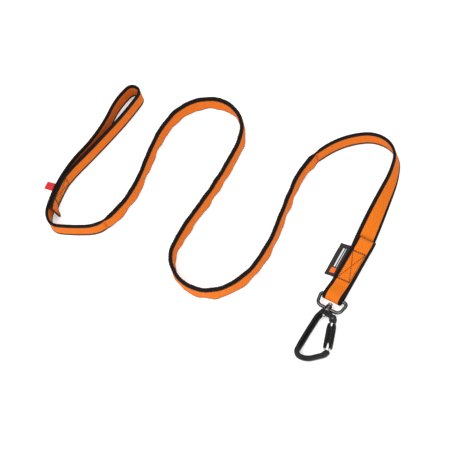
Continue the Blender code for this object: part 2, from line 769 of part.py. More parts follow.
def make_gate(material):
    """Barrel with a narrow waist for the sleeve's spring, and a tongue that turns in the fork."""
    low, high = WAIST
    waist = WAIST_RADIUS
    full = BARREL_RADIUS
    tip = GATE_LENGTH
    profile = [
        (0, tip), (full - 0.5 * MM, tip), (full, tip - 0.5 * MM), (full, high), (waist, high - 0.4 * MM),
        (waist, low + 0.4 * MM), (full, low), (full, BARREL_START + 0.5 * MM),
        (full - 0.5 * MM, BARREL_START), (0, BARREL_START),
    ]
    mesh = turned_mesh(profile)
    mesh.transform(gate_turned())
    gate = add_object("gate_barrel", mesh, material, HINGE.copy(), smooth=True)
    b = TONGUE_HALF_WIDTH
    outline = rounded([(-b, -b, b * 0.99), (8 * MM, -b, 0), (8 * MM, b, 0), (-b, b, b * 0.99)])
    low_z, high_z = TONGUE_Z
    tongue_mesh = plate_mesh([outline], (high_z - low_z) / 2)
    tongue_mesh.transform(gate_place() @ Matrix.Translation((0, 0, (low_z + high_z) / 2)))
    tongue = add_object("tongue", tongue_mesh, None)
    boolean(gate, tongue, "UNION")
    hole = cylinder_cutter("tongue_hole", HINGE_HOLE_RADIUS, THROUGH, Matrix.Translation(HINGE))
    boolean(gate, hole, "DIFFERENCE")
    socket = cylinder_cutter("guide_socket", GUIDE_PIN_RADIUS + FIT_GAP, 4 * MM, guide_pin_place(3.4 * MM), 12)
    boolean(gate, socket, "DIFFERENCE")
    return gate


def guide_pin_place(depth):
    """The guide pin's axis: across the gate, towards the carabiner's inside."""
    turn = Matrix.Rotation(math.radians(90), 4, "X")
    return gate_place() @ Matrix.Translation((GUIDE_PIN_PLACE, -depth, 0)) @ turn


def make_sleeve(material):
    """Fluted twist sleeve with a pointed window at the nose end and a round-ended one by the hinge."""
    start, end = SLEEVE_SPAN
    count = 4 * SLEEVE_FLUTES
    outer = []
    for i in range(count):
        angle = math.tau * i / count
        radius = SLEEVE_OUTER - SLEEVE_FLUTE_DEPTH * (i % 4 == 0)
        outer.append((radius * math.cos(angle), radius * math.sin(angle)))
    mesh = plate_mesh([outer, circle_points(SLEEVE_INNER, 24)], (end - start) / 2)
    mesh.transform(gate_turned() @ Matrix.Translation((0, 0, (start + end) / 2)))
    sleeve = add_object("lock_sleeve", mesh, material, HINGE.copy(), smooth=True)
    half = WINDOW_HALF_WIDTH
    past = end + FIT_GAP
    window = [(WINDOW_TIP, 0, 0), (WINDOW_SHOULDER, -half, 1 * MM), (past, -half, 0),
              (past, half, 0), (WINDOW_SHOULDER, half, 1 * MM)]
    narrow = EAR_WINDOW_HALF_WIDTH
    before = start - FIT_GAP
    ear_window = [(before, -narrow, 0), (EAR_WINDOW_END, -narrow, 1.2 * MM), (EAR_WINDOW_END, narrow, 1.2 * MM),
                  (before, narrow, 0)]
    for name, outline in (("sleeve_window", window), ("sleeve_ear_window", ear_window)):
        window_mesh = plate_mesh([rounded(outline)], 3 * MM)
        window_mesh.transform(gate_place() @ Matrix.Translation((0, 0, 4 * MM)))
        boolean(sleeve, add_object(name, window_mesh, None), "DIFFERENCE")
    return sleeve


def make_gate_fittings(steel):
    pin = cylinder_cutter("gate_hinge_pin", HINGE_PIN_RADIUS, HINGE_PIN_LENGTH, Matrix.Translation(HINGE))
    pin.data.materials.append(steel)
    coil = wire_mesh([*coil_points(SLEEVE_SPRING_RADIUS, SLEEVE_SPRING_LENGTH, 6)], SPRING_WIRE, resolution=0)
    coil.transform(gate_turned() @ Matrix.Translation((0, 0, WAIST[0] + 1.5 * MM)))
    add_object("sleeve_spring", coil, steel, HINGE.copy(), smooth=True)
    coil = wire_mesh([*coil_points(GATE_SPRING_RADIUS, GATE_SPRING_RISE, 1.25)], SPRING_WIRE, resolution=0)
    coil.transform(gate_place() @ Matrix.Translation((0, 0, TONGUE_Z[1] + FIT_GAP + SPRING_WIRE)))
    add_object("gate_spring", coil, steel, HINGE.copy(), smooth=True)
    guide = cylinder_cutter("sleeve_guide_pin", GUIDE_PIN_RADIUS, 1.6 * MM, guide_pin_place(2.55 * MM), 12)
    guide.data.materials.append(steel)


# ---------------------------------------------------------------- the whole lanyard


def build():
    web = make_material("orange_webbing", (0.84, 0.20, 0.02), 0.8)
    core = make_material("elastic_core", (0.75, 0.72, 0.65), 0.7)
    thread = make_material("brown_thread", (0.09, 0.03, 0.02), 0.8)
    label = make_material("black_label", (0.02, 0.02, 0.022), 0.7)
    tab = make_material("red_tab", (0.6, 0.03, 0.03), 0.7)
    black = make_material("black_anodised", (0.02, 0.02, 0.022), 0.35, 0.8)
    wire = make_material("blackened_wire", (0.05, 0.05, 0.055), 0.3, 0.9)
    steel = make_material("bright_steel", (0.7, 0.68, 0.65), 0.25, 1.0)
    make_webbing(web, core)
    make_threads(thread)
    make_flap("label", LABEL_WIDTH, LABEL_LENGTH, LABEL_THICKNESS, 1.6 * MM, label_matrix(), label)
    make_flap("side_tab", TAB_LENGTH, TAB_WIDTH, TAB_THICKNESS, 0.8 * MM, tab_matrix(), tab)
    make_eye(wire)
    make_swivel_pin(steel)
    make_washer(steel)
    make_body(black)
    make_gate(steel)
    make_sleeve(black)
    make_gate_fittings(steel)


def settle_on_origin():
    """Moves every part so that the middle of the sewn end's resting face is the origin."""
    rest, _, _, _ = frame_at(REST_PLACE)
    for made in [*PARTS.objects, *CUTTERS.objects]:
        made.location -= Vector((rest.x, rest.y, 0))


clear_scene()
PARTS = make_collection(COLLECTION)
CUTTERS = make_collection("cutters")
build()
settle_on_origin()
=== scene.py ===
"""Looks for the elastic hand lanyard: woven straps, stitching, label, swivel eye and carabiner.

Shapes are laid out in millimetres, and dress() brings each finished piece to metres about the
frame's origin. Distances along the strap start at the eye's bar.
"""

from math import ceil, copysign, cos, exp, hypot, pi, radians, sin, sqrt, tan, tau

import bmesh
import bpy
import numpy as np
from mathutils import Matrix, Vector


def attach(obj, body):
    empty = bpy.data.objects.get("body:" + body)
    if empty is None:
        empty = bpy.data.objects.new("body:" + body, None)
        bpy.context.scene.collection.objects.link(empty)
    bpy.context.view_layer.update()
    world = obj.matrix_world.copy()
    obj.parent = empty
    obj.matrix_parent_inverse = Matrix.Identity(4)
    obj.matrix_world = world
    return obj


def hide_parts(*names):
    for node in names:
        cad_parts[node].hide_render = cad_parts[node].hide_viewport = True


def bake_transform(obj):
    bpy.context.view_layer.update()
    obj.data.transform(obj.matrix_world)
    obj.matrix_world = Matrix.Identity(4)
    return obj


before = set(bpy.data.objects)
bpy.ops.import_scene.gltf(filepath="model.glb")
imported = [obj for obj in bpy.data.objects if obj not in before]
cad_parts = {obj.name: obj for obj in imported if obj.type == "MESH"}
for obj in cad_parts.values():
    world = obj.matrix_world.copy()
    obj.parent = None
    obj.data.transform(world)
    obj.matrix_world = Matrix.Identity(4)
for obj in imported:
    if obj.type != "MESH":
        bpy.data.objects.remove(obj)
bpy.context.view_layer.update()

MM = 0.001
UP = Vector((0, 0, 1))

# ---- the strap's path, in millimetres

WIDTH = 23.0
THICKNESS = 3.2
BUNGEE_THICKNESS = 4.2
SELVEDGE = 4.0
PATH_START = (-1.7, 11.2)
PATH_HEADING = 92.0
LEGS = (
    (42, 0.9), (40, 2.8), (60, 0.4), (30, 14.8), (28, 56.1), (29, 45.6), (72, 48.4),
    (33, 19), (53, 2), (50, -16.5), (41, -30), (44, -56.5), (34, -42.5), (27, -41),
    (47, -9), (89, 10), (20, 18), (69, 95.5), (49, 53), (43, 19), (38, 0.5),
    (64, -28.5), (28, -44), (33, -8.5), (14, -54.5), (16, -37.5), (36, -13), (22, -7.5),
    (22, -9), (61, 20), (34, -22.5), (26, -168.5), (41, -6.5), (69, -3.5), (27, 16),
)
TWIST = (58.0, 212.0)
TWIST_EASE = 1.5
BUNGEE = (288.0, 1008.0)
BUNGEE_RAMP = 9.0
TAIL_END = 76.0
TAIL_SHIFT = 1.4
TAIL_SETTLE = 20.0
SEAM_GAP = 0.12
WIRE_RADIUS = 1.9
BAR_Y = 11.2
FOLD_RADIUS = WIRE_RADIUS + 0.25 + THICKNESS / 2
HARDWARE_Z = THICKNESS / 2 + FOLD_RADIUS
LOOP_FLEX = 1139.0
LOOP_END = 1420.2
SEAM_BOTTOM = 1092.0
SEAM_FLARE = 1104.0
FLARE_ANGLE = radians(17)
END_BOX = (40.5, 37.0, 15.0)
LOOP_BOX = (1121.0, 30.0, 15.0)
REST_PLACE = 30.0
LABEL_PLACE = 43.0
TAB_PLACE = 1118.0


def smoothstep(value):
    value = min(max(value, 0.0), 1.0)
    return value * value * (3 - 2 * value)


def path_at(distance):
    x, y = PATH_START
    heading = radians(PATH_HEADING)
    for length, degrees in LEGS:
        turn = radians(degrees)
        step = min(distance, length)
        radius = length / turn
        swept = step / radius
        x += radius * (sin(heading + swept) - sin(heading))
        y -= radius * (cos(heading + swept) - cos(heading))
        heading += swept
        distance -= step
        if distance <= 0:
            break
    return x, y, heading


def frame_at(distance):
    """Centre in mm, direction, across (lower to upper edge) and face normal of the strap."""
    x, y, heading = path_at(distance)
    share = min(max((distance - TWIST[0]) / (TWIST[1] - TWIST[0]), 0.0), 1.0)
    tilt = radians(90) * (1 - share) ** TWIST_EASE
    along = Vector((cos(heading), sin(heading), 0))
    left = Vector((-along.y, along.x, 0))
    across = UP * cos(tilt) + left * sin(tilt)
    z = WIDTH / 2 * cos(tilt) + THICKNESS / 2 * sin(tilt)
    return Vector((x, y, z)), along, across, along.cross(across)


def rest_centre():
    """Where the frame's origin lies: the middle of the face the sewn end rests on, in mm."""
    centre, _, _, _ = frame_at(REST_PLACE)
    return Vector((centre.x, centre.y, 0))


TO_FRAME = Matrix.Translation(-rest_centre() * MM)


def point_on(distance):
    """The strap's centre in metres from the frame's origin."""
    return tuple((frame_at(distance)[0] - rest_centre()) * MM)


def gather_at(distance):
    rise = smoothstep((distance - BUNGEE[0]) / BUNGEE_RAMP)
    fall = smoothstep((BUNGEE[1] - distance) / BUNGEE_RAMP)
    return min(rise, fall)


def pinch_at(distance):
    """How hard the strap is drawn in at the bartacks that end the elastic."""
    nearest = min(abs(distance - BUNGEE[0]), abs(distance - BUNGEE[1]))
    return exp(-(nearest / 5.0) ** 2)


# ---- meshes

WELD = 0.001
DRILL_REACH = 9.0

def linked(name, mesh):
    made = bpy.data.objects.new(name, mesh)
    bpy.context.scene.collection.objects.link(made)
    return made


def from_bmesh(name, bm, matrix=None):
    """Ends a bmesh and links its object."""
    mesh = bpy.data.meshes.new(name)
    bm.to_mesh(mesh)
    bm.free()
    if matrix is not None:
        mesh.transform(matrix)
    return linked(name, mesh)


def mesh_object(name, points, faces, uvs=None):
    """An object from points in millimetres; uvs holds one pair per point."""
    mesh = bpy.data.meshes.new(name)
    mesh.from_pydata([tuple(p * MM) for p in points], [], faces)
    if uvs is not None:
        layer = mesh.uv_layers.new(name="UVMap")
        order = np.zeros(len(mesh.loops), np.int32)
        mesh.loops.foreach_get("vertex_index", order)
        layer.data.foreach_set("uv", np.asarray(uvs, np.float32)[order].ravel())
    mesh.validate()
    mesh.shade_smooth()
    return linked(name, mesh)


def outward(made, weld=0.0, sliver=0.0):
    """Turns the faces outwards, after welding points and dropping slivers closer than the mm given."""
    bm = bmesh.new()
    bm.from_mesh(made.data)
    if weld:
        bmesh.ops.remove_doubles(bm, verts=bm.verts, dist=weld * MM)
    if sliver:
        bmesh.ops.dissolve_degenerate(bm, edges=bm.edges, dist=sliver * MM)
    bmesh.ops.recalc_face_normals(bm, faces=bm.faces)
    bm.to_mesh(made.data)
    bm.free()
    return made


def skin(total, count, closed=False, base=0):
    """Faces over rings of equal length, numbered on from base, joined into a loop or capped at both ends."""
    faces = []
    for i in range(total if closed else total - 1):
        a = base + i * count
        b = base + (i + 1) % total * count
        for j in range(count):
            k = (j + 1) % count
            faces.append((a + j, a + k, b + k, b + j))
    if not closed:
        faces.append(tuple(base + j for j in range(count - 1, -1, -1)))
        faces.append(tuple(base + (total - 1) * count + j for j in range(count)))
    return faces


def loft(name, rings, uvs=None, closed=False):
    """Skins rings of equal length; flat caps don't bend the shading of the sides."""
    count = len(rings[0])
    points = [p for ring in rings for p in ring]
    made = outward(mesh_object(name, points, skin(len(rings), count, closed), uvs))
    if not closed:
        mark_caps(made.data, count)
    return made


def mark_caps(mesh, count):
    caps = [p for p in mesh.polygons if len(p.vertices) == count]
    for cap in caps:
        cap.use_smooth = False
    keys = {key for cap in caps for key in cap.edge_keys}
    sharp = np.array([tuple(sorted(e.vertices)) in keys for e in mesh.edges])
    attribute = mesh.attributes.new("sharp_edge", "BOOLEAN", "EDGE")
    attribute.data.foreach_set("value", sharp)


def applied(made):
    """Replaces the object's mesh with its modifiers' result."""
    graph = bpy.context.evaluated_depsgraph_get()
    graph.update()
    mesh = bpy.data.meshes.new_from_object(made.evaluated_get(graph))
    made.modifiers.clear()
    made.data = mesh
    return made


def fuse(made, voxel, smoothing):
    """Welds overlapping closed shapes into one skin with softened edges."""
    remesh = made.modifiers.new("fuse", "REMESH")
    remesh.mode = "VOXEL"
    remesh.voxel_size = voxel * MM
    smooth = made.modifiers.new("soften", "SMOOTH")
    smooth.factor = 0.5
    smooth.iterations = smoothing
    applied(made)
    made.data.shade_smooth()
    return made


def joined(name, objects):
    bm = bmesh.new()
    for item in objects:
        bm.from_mesh(item.data)
        bpy.data.objects.remove(item)
    return from_bmesh(name, bm)


def cut(made, cutters, operation="DIFFERENCE"):
    """Takes closed shapes away from a piece, or adds them with UNION, and removes them."""
    for cutter in cutters:
        modifier = made.modifiers.new("cut", "BOOLEAN")
        modifier.operation = operation
        modifier.object = cutter
        modifier.solver = "EXACT"
    applied(made)
    for cutter in cutters:
        bpy.data.objects.remove(cutter)
    return made


def smooth_by_angle(made, degrees=40):
    made.data.shade_smooth()
    made.data.set_sharp_from_angle(angle=radians(degrees))
    return made


def placed(made, matrix):
    made.data.transform(matrix)
    return made


def around(count):
    """Cosine and sine of even steps round a circle."""
    return [(cos(tau * k / count), sin(tau * k / count)) for k in range(count)]


def lathe(name, profile, segments=64):
    """A closed solid of revolution about Z from (radius, height) pairs in mm."""
    points = [Vector((r * c, r * s, h)) for c, s in around(segments) for r, h in profile]
    count = len(profile)
    faces = []
    for i in range(segments):
        a = i * count
        b = (i + 1) % segments * count
        for j in range(count if profile[0][0] > 0 and profile[-1][0] > 0 else count - 1):
            k = (j + 1) % count
            faces.append((a + j, b + j, b + k, a + k))
    made = outward(mesh_object(name, points, faces), WELD, WELD / 2)
    return smooth_by_angle(made)


def drill(radius, matrix):
    """A round cutter along the matrix's own z axis."""
    reach = DRILL_REACH
    return placed(lathe("drill", [(0, reach), (radius, reach), (radius, -reach), (0, -reach)], 40), matrix)


def softened(corners, radius=0.25, steps=3):
    """An open profile with its inner corners cut by small arcs."""
    points = [Vector(corners[0])]
    for last, here, after in zip(corners, corners[1:], corners[2:]):
        here = Vector(here)
        to_last = Vector(last) - here
        to_next = Vector(after) - here
        reach = min(radius, to_last.length * 0.45, to_next.length * 0.45)
        start = here + to_last.normalized() * reach
        end = here + to_next.normalized() * reach
        for k in range(steps + 1):
            t = k / steps
            points.append(start * (1 - t) ** 2 + here * (2 * t * (1 - t)) + end * t * t)
    points.append(Vector(corners[-1]))
    return [tuple(p) for p in points]


def rounded_line(corners, step=radians(4)):
    """Points of an open line whose corners (x, y, radius) are replaced by arcs."""
    points = [Vector(corners[0][:2])]
    for last, here, after in zip(corners, corners[1:], corners[2:]):
        corner = Vector(here[:2])
        radius = here[2]
        to_last = (Vector(last[:2]) - corner).normalized()
        to_next = (Vector(after[:2]) - corner).normalized()
        half = to_last.angle(to_next) / 2
        centre = corner + (to_last + to_next).normalized() * (radius / sin(half))
        start = corner + to_last * (radius / tan(half)) - centre
        sweep = pi - 2 * half
        side = 1 if to_last.cross(to_next) < 0 else -1
        steps = max(2, ceil(sweep / step))
        for k in range(steps + 1):
            points.append(centre + Matrix.Rotation(side * sweep * k / steps, 2) @ start)
    points.append(Vector(corners[-1][:2]))
    return points


def resampled(points, step):
    """The line's points at even spacing."""
    lengths = [0.0]
    for a, b in zip(points, points[1:]):
        lengths.append(lengths[-1] + (b - a).length)
    total = lengths[-1]
    count = max(2, round(total / step))
    xs = np.interp(np.linspace(0, total, count + 1), lengths, [p.x for p in points])
    ys = np.interp(np.linspace(0, total, count + 1), lengths, [p.y for p in points])
    return [Vector((x, y)) for x, y in zip(xs, ys)]


# ---- materials


class Nodes:
    """Short-hand for building a material's nodes."""

    def __init__(self, name):
        self.material = bpy.data.materials.new(name)
        self.material.use_nodes = True
        self.tree = self.material.node_tree
        self.shader = self.tree.nodes["Principled BSDF"]

    def add(self, kind, inputs=None, **settings):
        node = self.tree.nodes.new(kind)
        for key, value in settings.items():
            setattr(node, key, value)
        self.feed(node, inputs or {})
        return node

    def feed(self, node, inputs):
        """Sets a node's inputs to values, or links them to other nodes' outputs."""
        for key, value in inputs.items():
            if isinstance(value, (int, float, tuple)):
                node.inputs[key].default_value = value
            else:
                self.tree.links.new(value, node.inputs[key])

    def math(self, operation, *values, clamp=False):
        node = self.add("ShaderNodeMath", dict(enumerate(values)), operation=operation, use_clamp=clamp)
        return node.outputs[0]

    def times(self, a, b):
        return self.math("MULTIPLY", a, b)

    def scaled(self, value, scale, offset, clamp=False):
        return self.math("MULTIPLY_ADD", value, scale, offset, clamp=clamp)

    def step(self, value, low, high):
        inputs = {"Value": value, "From Min": low, "From Max": high}
        return self.add("ShaderNodeMapRange", inputs, interpolation_type="SMOOTHSTEP").outputs["Result"]

    def mix(self, share, a, b):
        return self.add("ShaderNodeMix", {"Factor": share, 6: a, 7: b}, data_type="RGBA").outputs[2]

    def noise(self, scale, detail=2.0, roughness=0.5):
        place = self.add("ShaderNodeTexCoord").outputs["Object"]
        inputs = {"Scale": scale, "Detail": detail, "Roughness": roughness, "Vector": place}
        return self.add("ShaderNodeTexNoise", inputs).outputs["Fac"]

    def edges(self, low, high):
        """Share of wear on the sharp outer edges."""
        return self.step(self.add("ShaderNodeNewGeometry").outputs["Pointiness"], low, high)

    def uv(self):
        node = self.add("ShaderNodeSeparateXYZ", {0: self.add("ShaderNodeUVMap", uv_map="UVMap").outputs[0]})
        return node.outputs[0], node.outputs[1]

    def finish(self, colour, roughness, relief=None, metallic=0.0, specular=0.5, sheen=()):
        """Sets the shader; relief is (height, metres, strength), and sheen is (weight, tint, roughness)."""
        self.feed(self.shader, {"Base Color": colour, "Roughness": roughness, "Metallic": metallic,
                                "Specular IOR Level": specular})
        self.feed(self.shader, dict(zip(("Sheen Weight", "Sheen Tint", "Sheen Roughness"), sheen)))
        if relief:
            bump = self.add("ShaderNodeBump", dict(zip(("Height", "Distance", "Strength"), relief)))
            self.feed(self.shader, {"Normal": bump.outputs[0]})
        return self.material


def weave(n, u, v, along, across):
    """Height, from 0 to 1, of a plain weave with the given yarn spacings."""
    warp = n.math("SINE", n.times(v, pi / across))
    weft = n.math("SINE", n.times(u, pi / along))
    checker = n.scaled(n.times(warp, weft), 0.5, 0.5)
    return n.math("ADD", n.times(n.math("ABSOLUTE", warp), 0.45), n.times(checker, 0.55))


def webbing_material():
    """Orange woven body with black selvedges; u runs along the strap and v across it, in mm."""
    n = Nodes("orange_webbing")
    u, v = n.uv()
    wander = n.times(n.math("SUBTRACT", n.noise(260.0), 0.5), 0.5)
    edge = n.math("ABSOLUTE", n.math("ADD", v, wander))
    limit = WIDTH / 2 - SELVEDGE
    selvedge = n.step(edge, limit - 0.12, limit + 0.12)
    body = weave(n, u, v, 1.6, 1.05)
    border = weave(n, u, v, 0.8, 0.6)
    fibre = n.noise(5200.0, 3.0, 0.7)
    patch = n.times(n.step(n.noise(45.0, 3.0), 0.35, 0.75), 0.22)
    fluff = n.times(n.step(fibre, 0.5, 0.8), 0.2)
    # Painted shade: the orange is darker at the weave's low points and lighter on its high points.
    orange = n.mix(n.scaled(body, 0.75, 0.2, clamp=True), (0.27, 0.038, 0.002, 1), (0.78, 0.190, 0.010, 1))
    orange = n.mix(patch, orange, (0.60, 0.10, 0.006, 1))
    orange = n.mix(fluff, orange, (0.92, 0.26, 0.04, 1))
    # Painted shade: the black selvedge is likewise darker at the low points of its finer weave.
    black = n.mix(border, (0.002, 0.0014, 0.0012, 1), (0.010, 0.0075, 0.007, 1))
    burn = n.add("ShaderNodeAttribute", attribute_name="burn").outputs["Fac"]
    colour = n.mix(n.times(burn, 0.9), n.mix(selvedge, orange, black), (0.035, 0.010, 0.004, 1))
    height = n.add("ShaderNodeMix", {"Factor": selvedge, 2: body, 3: border}, data_type="FLOAT").outputs[0]
    relief = (n.math("ADD", height, n.times(fibre, 0.35)), 0.00024, 0.9)
    return n.finish(colour, n.scaled(fibre, 0.2, 0.66), relief, specular=0.09,
                    sheen=(0.015, (1.0, 0.62, 0.4, 1), 0.45))


def thread_material(name, dark, light):
    """Twisted sewing thread."""
    n = Nodes(name)
    u, v = n.uv()
    ply = n.scaled(n.math("SINE", n.math("ADD", n.times(u, 9.0), n.times(v, 12.0))), 0.5, 0.5)
    # Partly random tone from the noise, partly painted shade: darker in the grooves of the twist and lighter
    # on the ply's crests.
    colour = n.mix(n.scaled(n.noise(9000.0), 0.4, n.times(ply, 0.6)), dark, light)
    return n.finish(colour, 0.55, (ply, 0.0001, 0.6), specular=0.2, sheen=(0.04, (1, 0.9, 0.8, 1), 0.5))


def label_material():
    """Black damask weave with two plain woven stripes, a plain block and no lettering."""
    n = Nodes("black_label")
    u, v = n.uv()
    height = weave(n, u, v, 0.42, 0.36)

    def band(value, centre, half):
        away = n.math("ABSOLUTE", n.math("SUBTRACT", value, centre))
        return n.math("SUBTRACT", 1.0, n.step(away, half - 0.12, half + 0.12))

    # Painted shade: each colour is darker at the weave's low points and lighter on its high points.
    ground = n.mix(height, (0.006, 0.005, 0.006, 1), (0.030, 0.026, 0.028, 1))
    orange = n.mix(height, (0.55, 0.07, 0.006, 1), (0.85, 0.16, 0.02, 1))
    pale = n.mix(height, (0.38, 0.37, 0.36, 1), (0.72, 0.71, 0.70, 1))
    colour = n.mix(n.times(band(u, -13.6, 3.2), band(v, 5.6, 3.1)), ground, orange)
    stripes = n.math("MAXIMUM", band(v, 6.2, 0.9), band(v, 3.6, 0.35))
    colour = n.mix(n.times(band(u, 3.0, 12.0), stripes), colour, pale)
    return n.finish(colour, n.scaled(n.noise(6000.0), 0.25, 0.55), (height, 0.0001, 0.7), specular=0.2,
                    sheen=(0.03, (0.8, 0.8, 0.85, 1), 0.5))


def tab_material():
    """Plain red satin weave."""
    n = Nodes("red_tab")
    height = weave(n, *n.uv(), 0.4, 0.34)
    # Painted shade: the red is darker at the weave's low points and lighter on its high points.
    colour = n.mix(height, (0.28, 0.006, 0.008, 1), (0.58, 0.016, 0.018, 1))
    colour = n.mix(n.times(n.noise(400.0), 0.25), colour, (0.55, 0.02, 0.02, 1))
    return n.finish(colour, 0.55, (height, 0.0001, 0.7), specular=0.25, sheen=(0.04, (1, 0.6, 0.6, 1), 0.5))


def anodised_material():
    """Black anodised aluminium: fine satin grain, with worn high edges."""
    n = Nodes("black_anodised")
    grain = n.noise(2600.0, 3.0, 0.65)
    smear = n.noise(120.0, 3.0)
    worn = n.times(n.edges(0.535, 0.60), n.step(n.noise(420.0, 3.0), 0.42, 0.7))
    base = n.mix(smear, (0.002, 0.0018, 0.0018, 1), (0.006, 0.0055, 0.0055, 1))
    colour = n.mix(n.times(worn, 0.5), base, (0.14, 0.135, 0.13, 1))
    rough = n.math("ADD", n.scaled(grain, 0.10, 0.15), n.times(smear, 0.06))
    return n.finish(colour, rough, (grain, 0.00004, 0.5), specular=0.17)


def black_wire_material():
    """Polished black-plated wire, with a painted highlight down its middle and painted shade on the sides
    that turn away from the view.
    """
    n = Nodes("blackened_wire")
    drawn = n.noise(900.0, 3.0, 0.6)
    # Painted highlight and shade: the base colour is lighter where the wire faces the camera and near black
    # where it turns away.
    facing = n.add("ShaderNodeLayerWeight").outputs["Facing"]
    painted_highlight = n.mix(n.noise(160.0), (0.075, 0.072, 0.077, 1), (0.13, 0.126, 0.132, 1))
    base = n.mix(n.step(facing, 0.01, 0.2), painted_highlight, (0.003, 0.0025, 0.0035, 1))
    colour = n.mix(n.times(n.edges(0.53, 0.6), 0.5), base, (0.20, 0.195, 0.19, 1))
    return n.finish(colour, n.scaled(drawn, 0.14, 0.16), (drawn, 0.00003, 0.4), metallic=0.85)


def steel_material(name, tone):
    """Turned steel with fine machining marks; the tone is the brighter of its two shades."""
    n = Nodes(name)
    marks = n.noise(1500.0, 4.0, 0.7)
    colour = n.mix(n.noise(220.0), (*tone, 1), (*(c * 0.82 for c in tone), 1))
    return n.finish(colour, n.scaled(marks, 0.16, 0.14), (marks, 0.00002, 0.5), metallic=1.0)


def rubber_material():
    """Natural rubber elastic with fine longitudinal ribs."""
    n = Nodes("elastic_core")
    ribs = n.math("ABSOLUTE", n.math("SINE", n.times(n.uv()[1], pi / 0.9)))
    # Painted shade: darker between the ribs and lighter on their crests, with a random mottle.
    share = n.scaled(n.noise(1800.0, 3.0), 0.4, n.times(ribs, 0.5))
    colour = n.mix(share, (0.50, 0.46, 0.38, 1), (0.78, 0.74, 0.66, 1))
    return n.finish(colour, 0.72, (ribs, 0.0001, 0.6))


BROWN_THREAD = ((0.022, 0.007, 0.004, 1), (0.10, 0.030, 0.016, 1))
BLACK_THREAD = ((0.006, 0.005, 0.005, 1), (0.03, 0.026, 0.026, 1))
ORANGE_THREAD = ((0.36, 0.045, 0.002, 1), (0.70, 0.13, 0.008, 1))
# Each material with the slot it is filed under
MATERIALS = {
    "web": (webbing_material(), "orange_webbing"),
    "thread": (thread_material("brown_thread", *BROWN_THREAD), "brown_thread"),
    "black_thread": (thread_material("black_thread", *BLACK_THREAD), "black_label"),
    "orange_thread": (thread_material("orange_thread", *ORANGE_THREAD), "orange_webbing"),
    "label": (label_material(), "black_label"),
    "tab": (tab_material(), "red_tab"),
    "anodised": (anodised_material(), "black_anodised"),
    "wire": (black_wire_material(), "blackened_wire"),
    "steel": (steel_material("bright_steel", (0.66, 0.645, 0.62)), "bright_steel"),
    "pin_steel": (steel_material("pin_steel", (0.36, 0.345, 0.335)), "bright_steel"),
    "rubber": (rubber_material(), "elastic_core"),
}


def dress(made, material):
    """Gives a finished piece its material and moves it from the layout's point to the frame's origin."""
    shader, slot = MATERIALS[material]
    made.data.transform(TO_FRAME)
    made.data.materials.clear()
    made.data.materials.append(shader)
    return made


def fit(made, material, body, *nodes):
    """Finishes a stiff piece that rides on one body and stands in for the CAD nodes named."""
    dress(made, material)
    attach(made, body)
    if nodes:
        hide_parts(*nodes)


def fit_between(made, low, high, nodes):
    """Bakes a soft piece's placement into its mesh and hides the CAD nodes it stands in for; the strap's
    centres at the two distances are worked out and left unused.
    """
    point_on(low)
    point_on(high)
    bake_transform(made)
    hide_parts(*nodes)


# ---- webbing

FOLD_STEPS = 24
FOLD_WEAVE_STEP = 0.5
SEAM_SIDE = LOOP_FLEX - 5.0
LOOP_SIDE = LOOP_END - 4.0
FACE_SHARES = (0.0, 0.14, 0.28, 0.42, 0.56, 0.68, 0.78, 0.86, 0.91, 0.96)
ARC_ANGLES = tuple(radians(a) for a in (0, 15, 30, 45, 60, 75, 90))
CORE_INSET = 9
CORE_SECTION = ((-8.75, -0.3), (-8.35, -0.7), (8.35, -0.7), (8.75, -0.3),
                (8.75, 0.3), (8.35, 0.7), (-8.35, 0.7), (-8.75, 0.3))
# Name, start, end, bend's place (None: it stretches) and reach, bodies, and the CAD's web and core lengths
SPANS = (
    ("front_bend", 150, 318, 210, 14, ("front_length", "bungee_1"), "web_twist", 1),
    ("stretch_front", 318, 476, None, 0, ("bungee_1", "bungee_2"), "web_bungee_1", 2),
    ("lower_bend", 476, 590, 526, 14, ("bungee_2", "bungee_3"), "web_bungee_2", 3),
    ("stretch_middle", 590, 722, None, 0, ("bungee_3", "bungee_4"), "web_bungee_3", 4),
    ("upper_bend", 722, 878, 788, 14, ("bungee_4", "bungee_5"), "web_bungee_4", 5),
    ("stretch_rear", 878, 1008, None, 0, ("bungee_5", "bungee_6"), "web_bungee_5", 6),
    ("handle_bend", 1008, 1092, 1046, 12, ("bungee_6", "handle_base"), "web_bungee_6", None),
)
STRETCH_INSET = 12


def half_profile(width, thickness):
    """Upper face of the strap's section from the middle to the right edge, as (a, b)."""
    radius = thickness / 2
    reach = width / 2 - radius
    points = []
    for share in FACE_SHARES:
        a = share * reach
        groove = exp(-((a - (width / 2 - SELVEDGE)) / 0.35) ** 2)
        bead = smoothstep((a - (width / 2 - SELVEDGE)) / 0.8)
        points.append((a, radius - 0.10 - 0.10 * groove + 0.10 * bead))
    for angle in ARC_ANGLES:
        points.append((reach + radius * sin(angle), radius * cos(angle)))
    return points


def full_profile(width, thickness):
    right = half_profile(width, thickness)
    top = [(-a, b) for a, b in reversed(right[1:])] + right
    bottom = [(a, -b) for a, b in reversed(top[1:-1])]
    return top + bottom


def ripple(distance, a):
    """Gathering of the elastic length: fine folds across the strap whose phase drifts along and across."""
    drift = 0.9 * sin(distance * 0.11 + 0.3) + 0.7 * sin(distance * 0.047 + 1.9)
    skew = 0.35 * sin(a * 0.33 + distance * 0.05) + 0.25 * sin(a * 0.8 - distance * 0.021)
    first = sin(distance * tau / 3.3 + drift + skew * 2.2)
    second = sin(distance * tau / 5.9 - drift * 1.3 + skew * 1.4)
    return 0.68 * first + 0.32 * second


def buckle_at(distance):
    """Slow uneven waves of the gathered length, sideways in mm."""
    first = sin(distance * 0.19 + 1.3 * sin(distance * 0.037))
    second = sin(distance * 0.33 + 1.7 * sin(distance * 0.021 + 1.0))
    return 0.42 * first + 0.26 * second


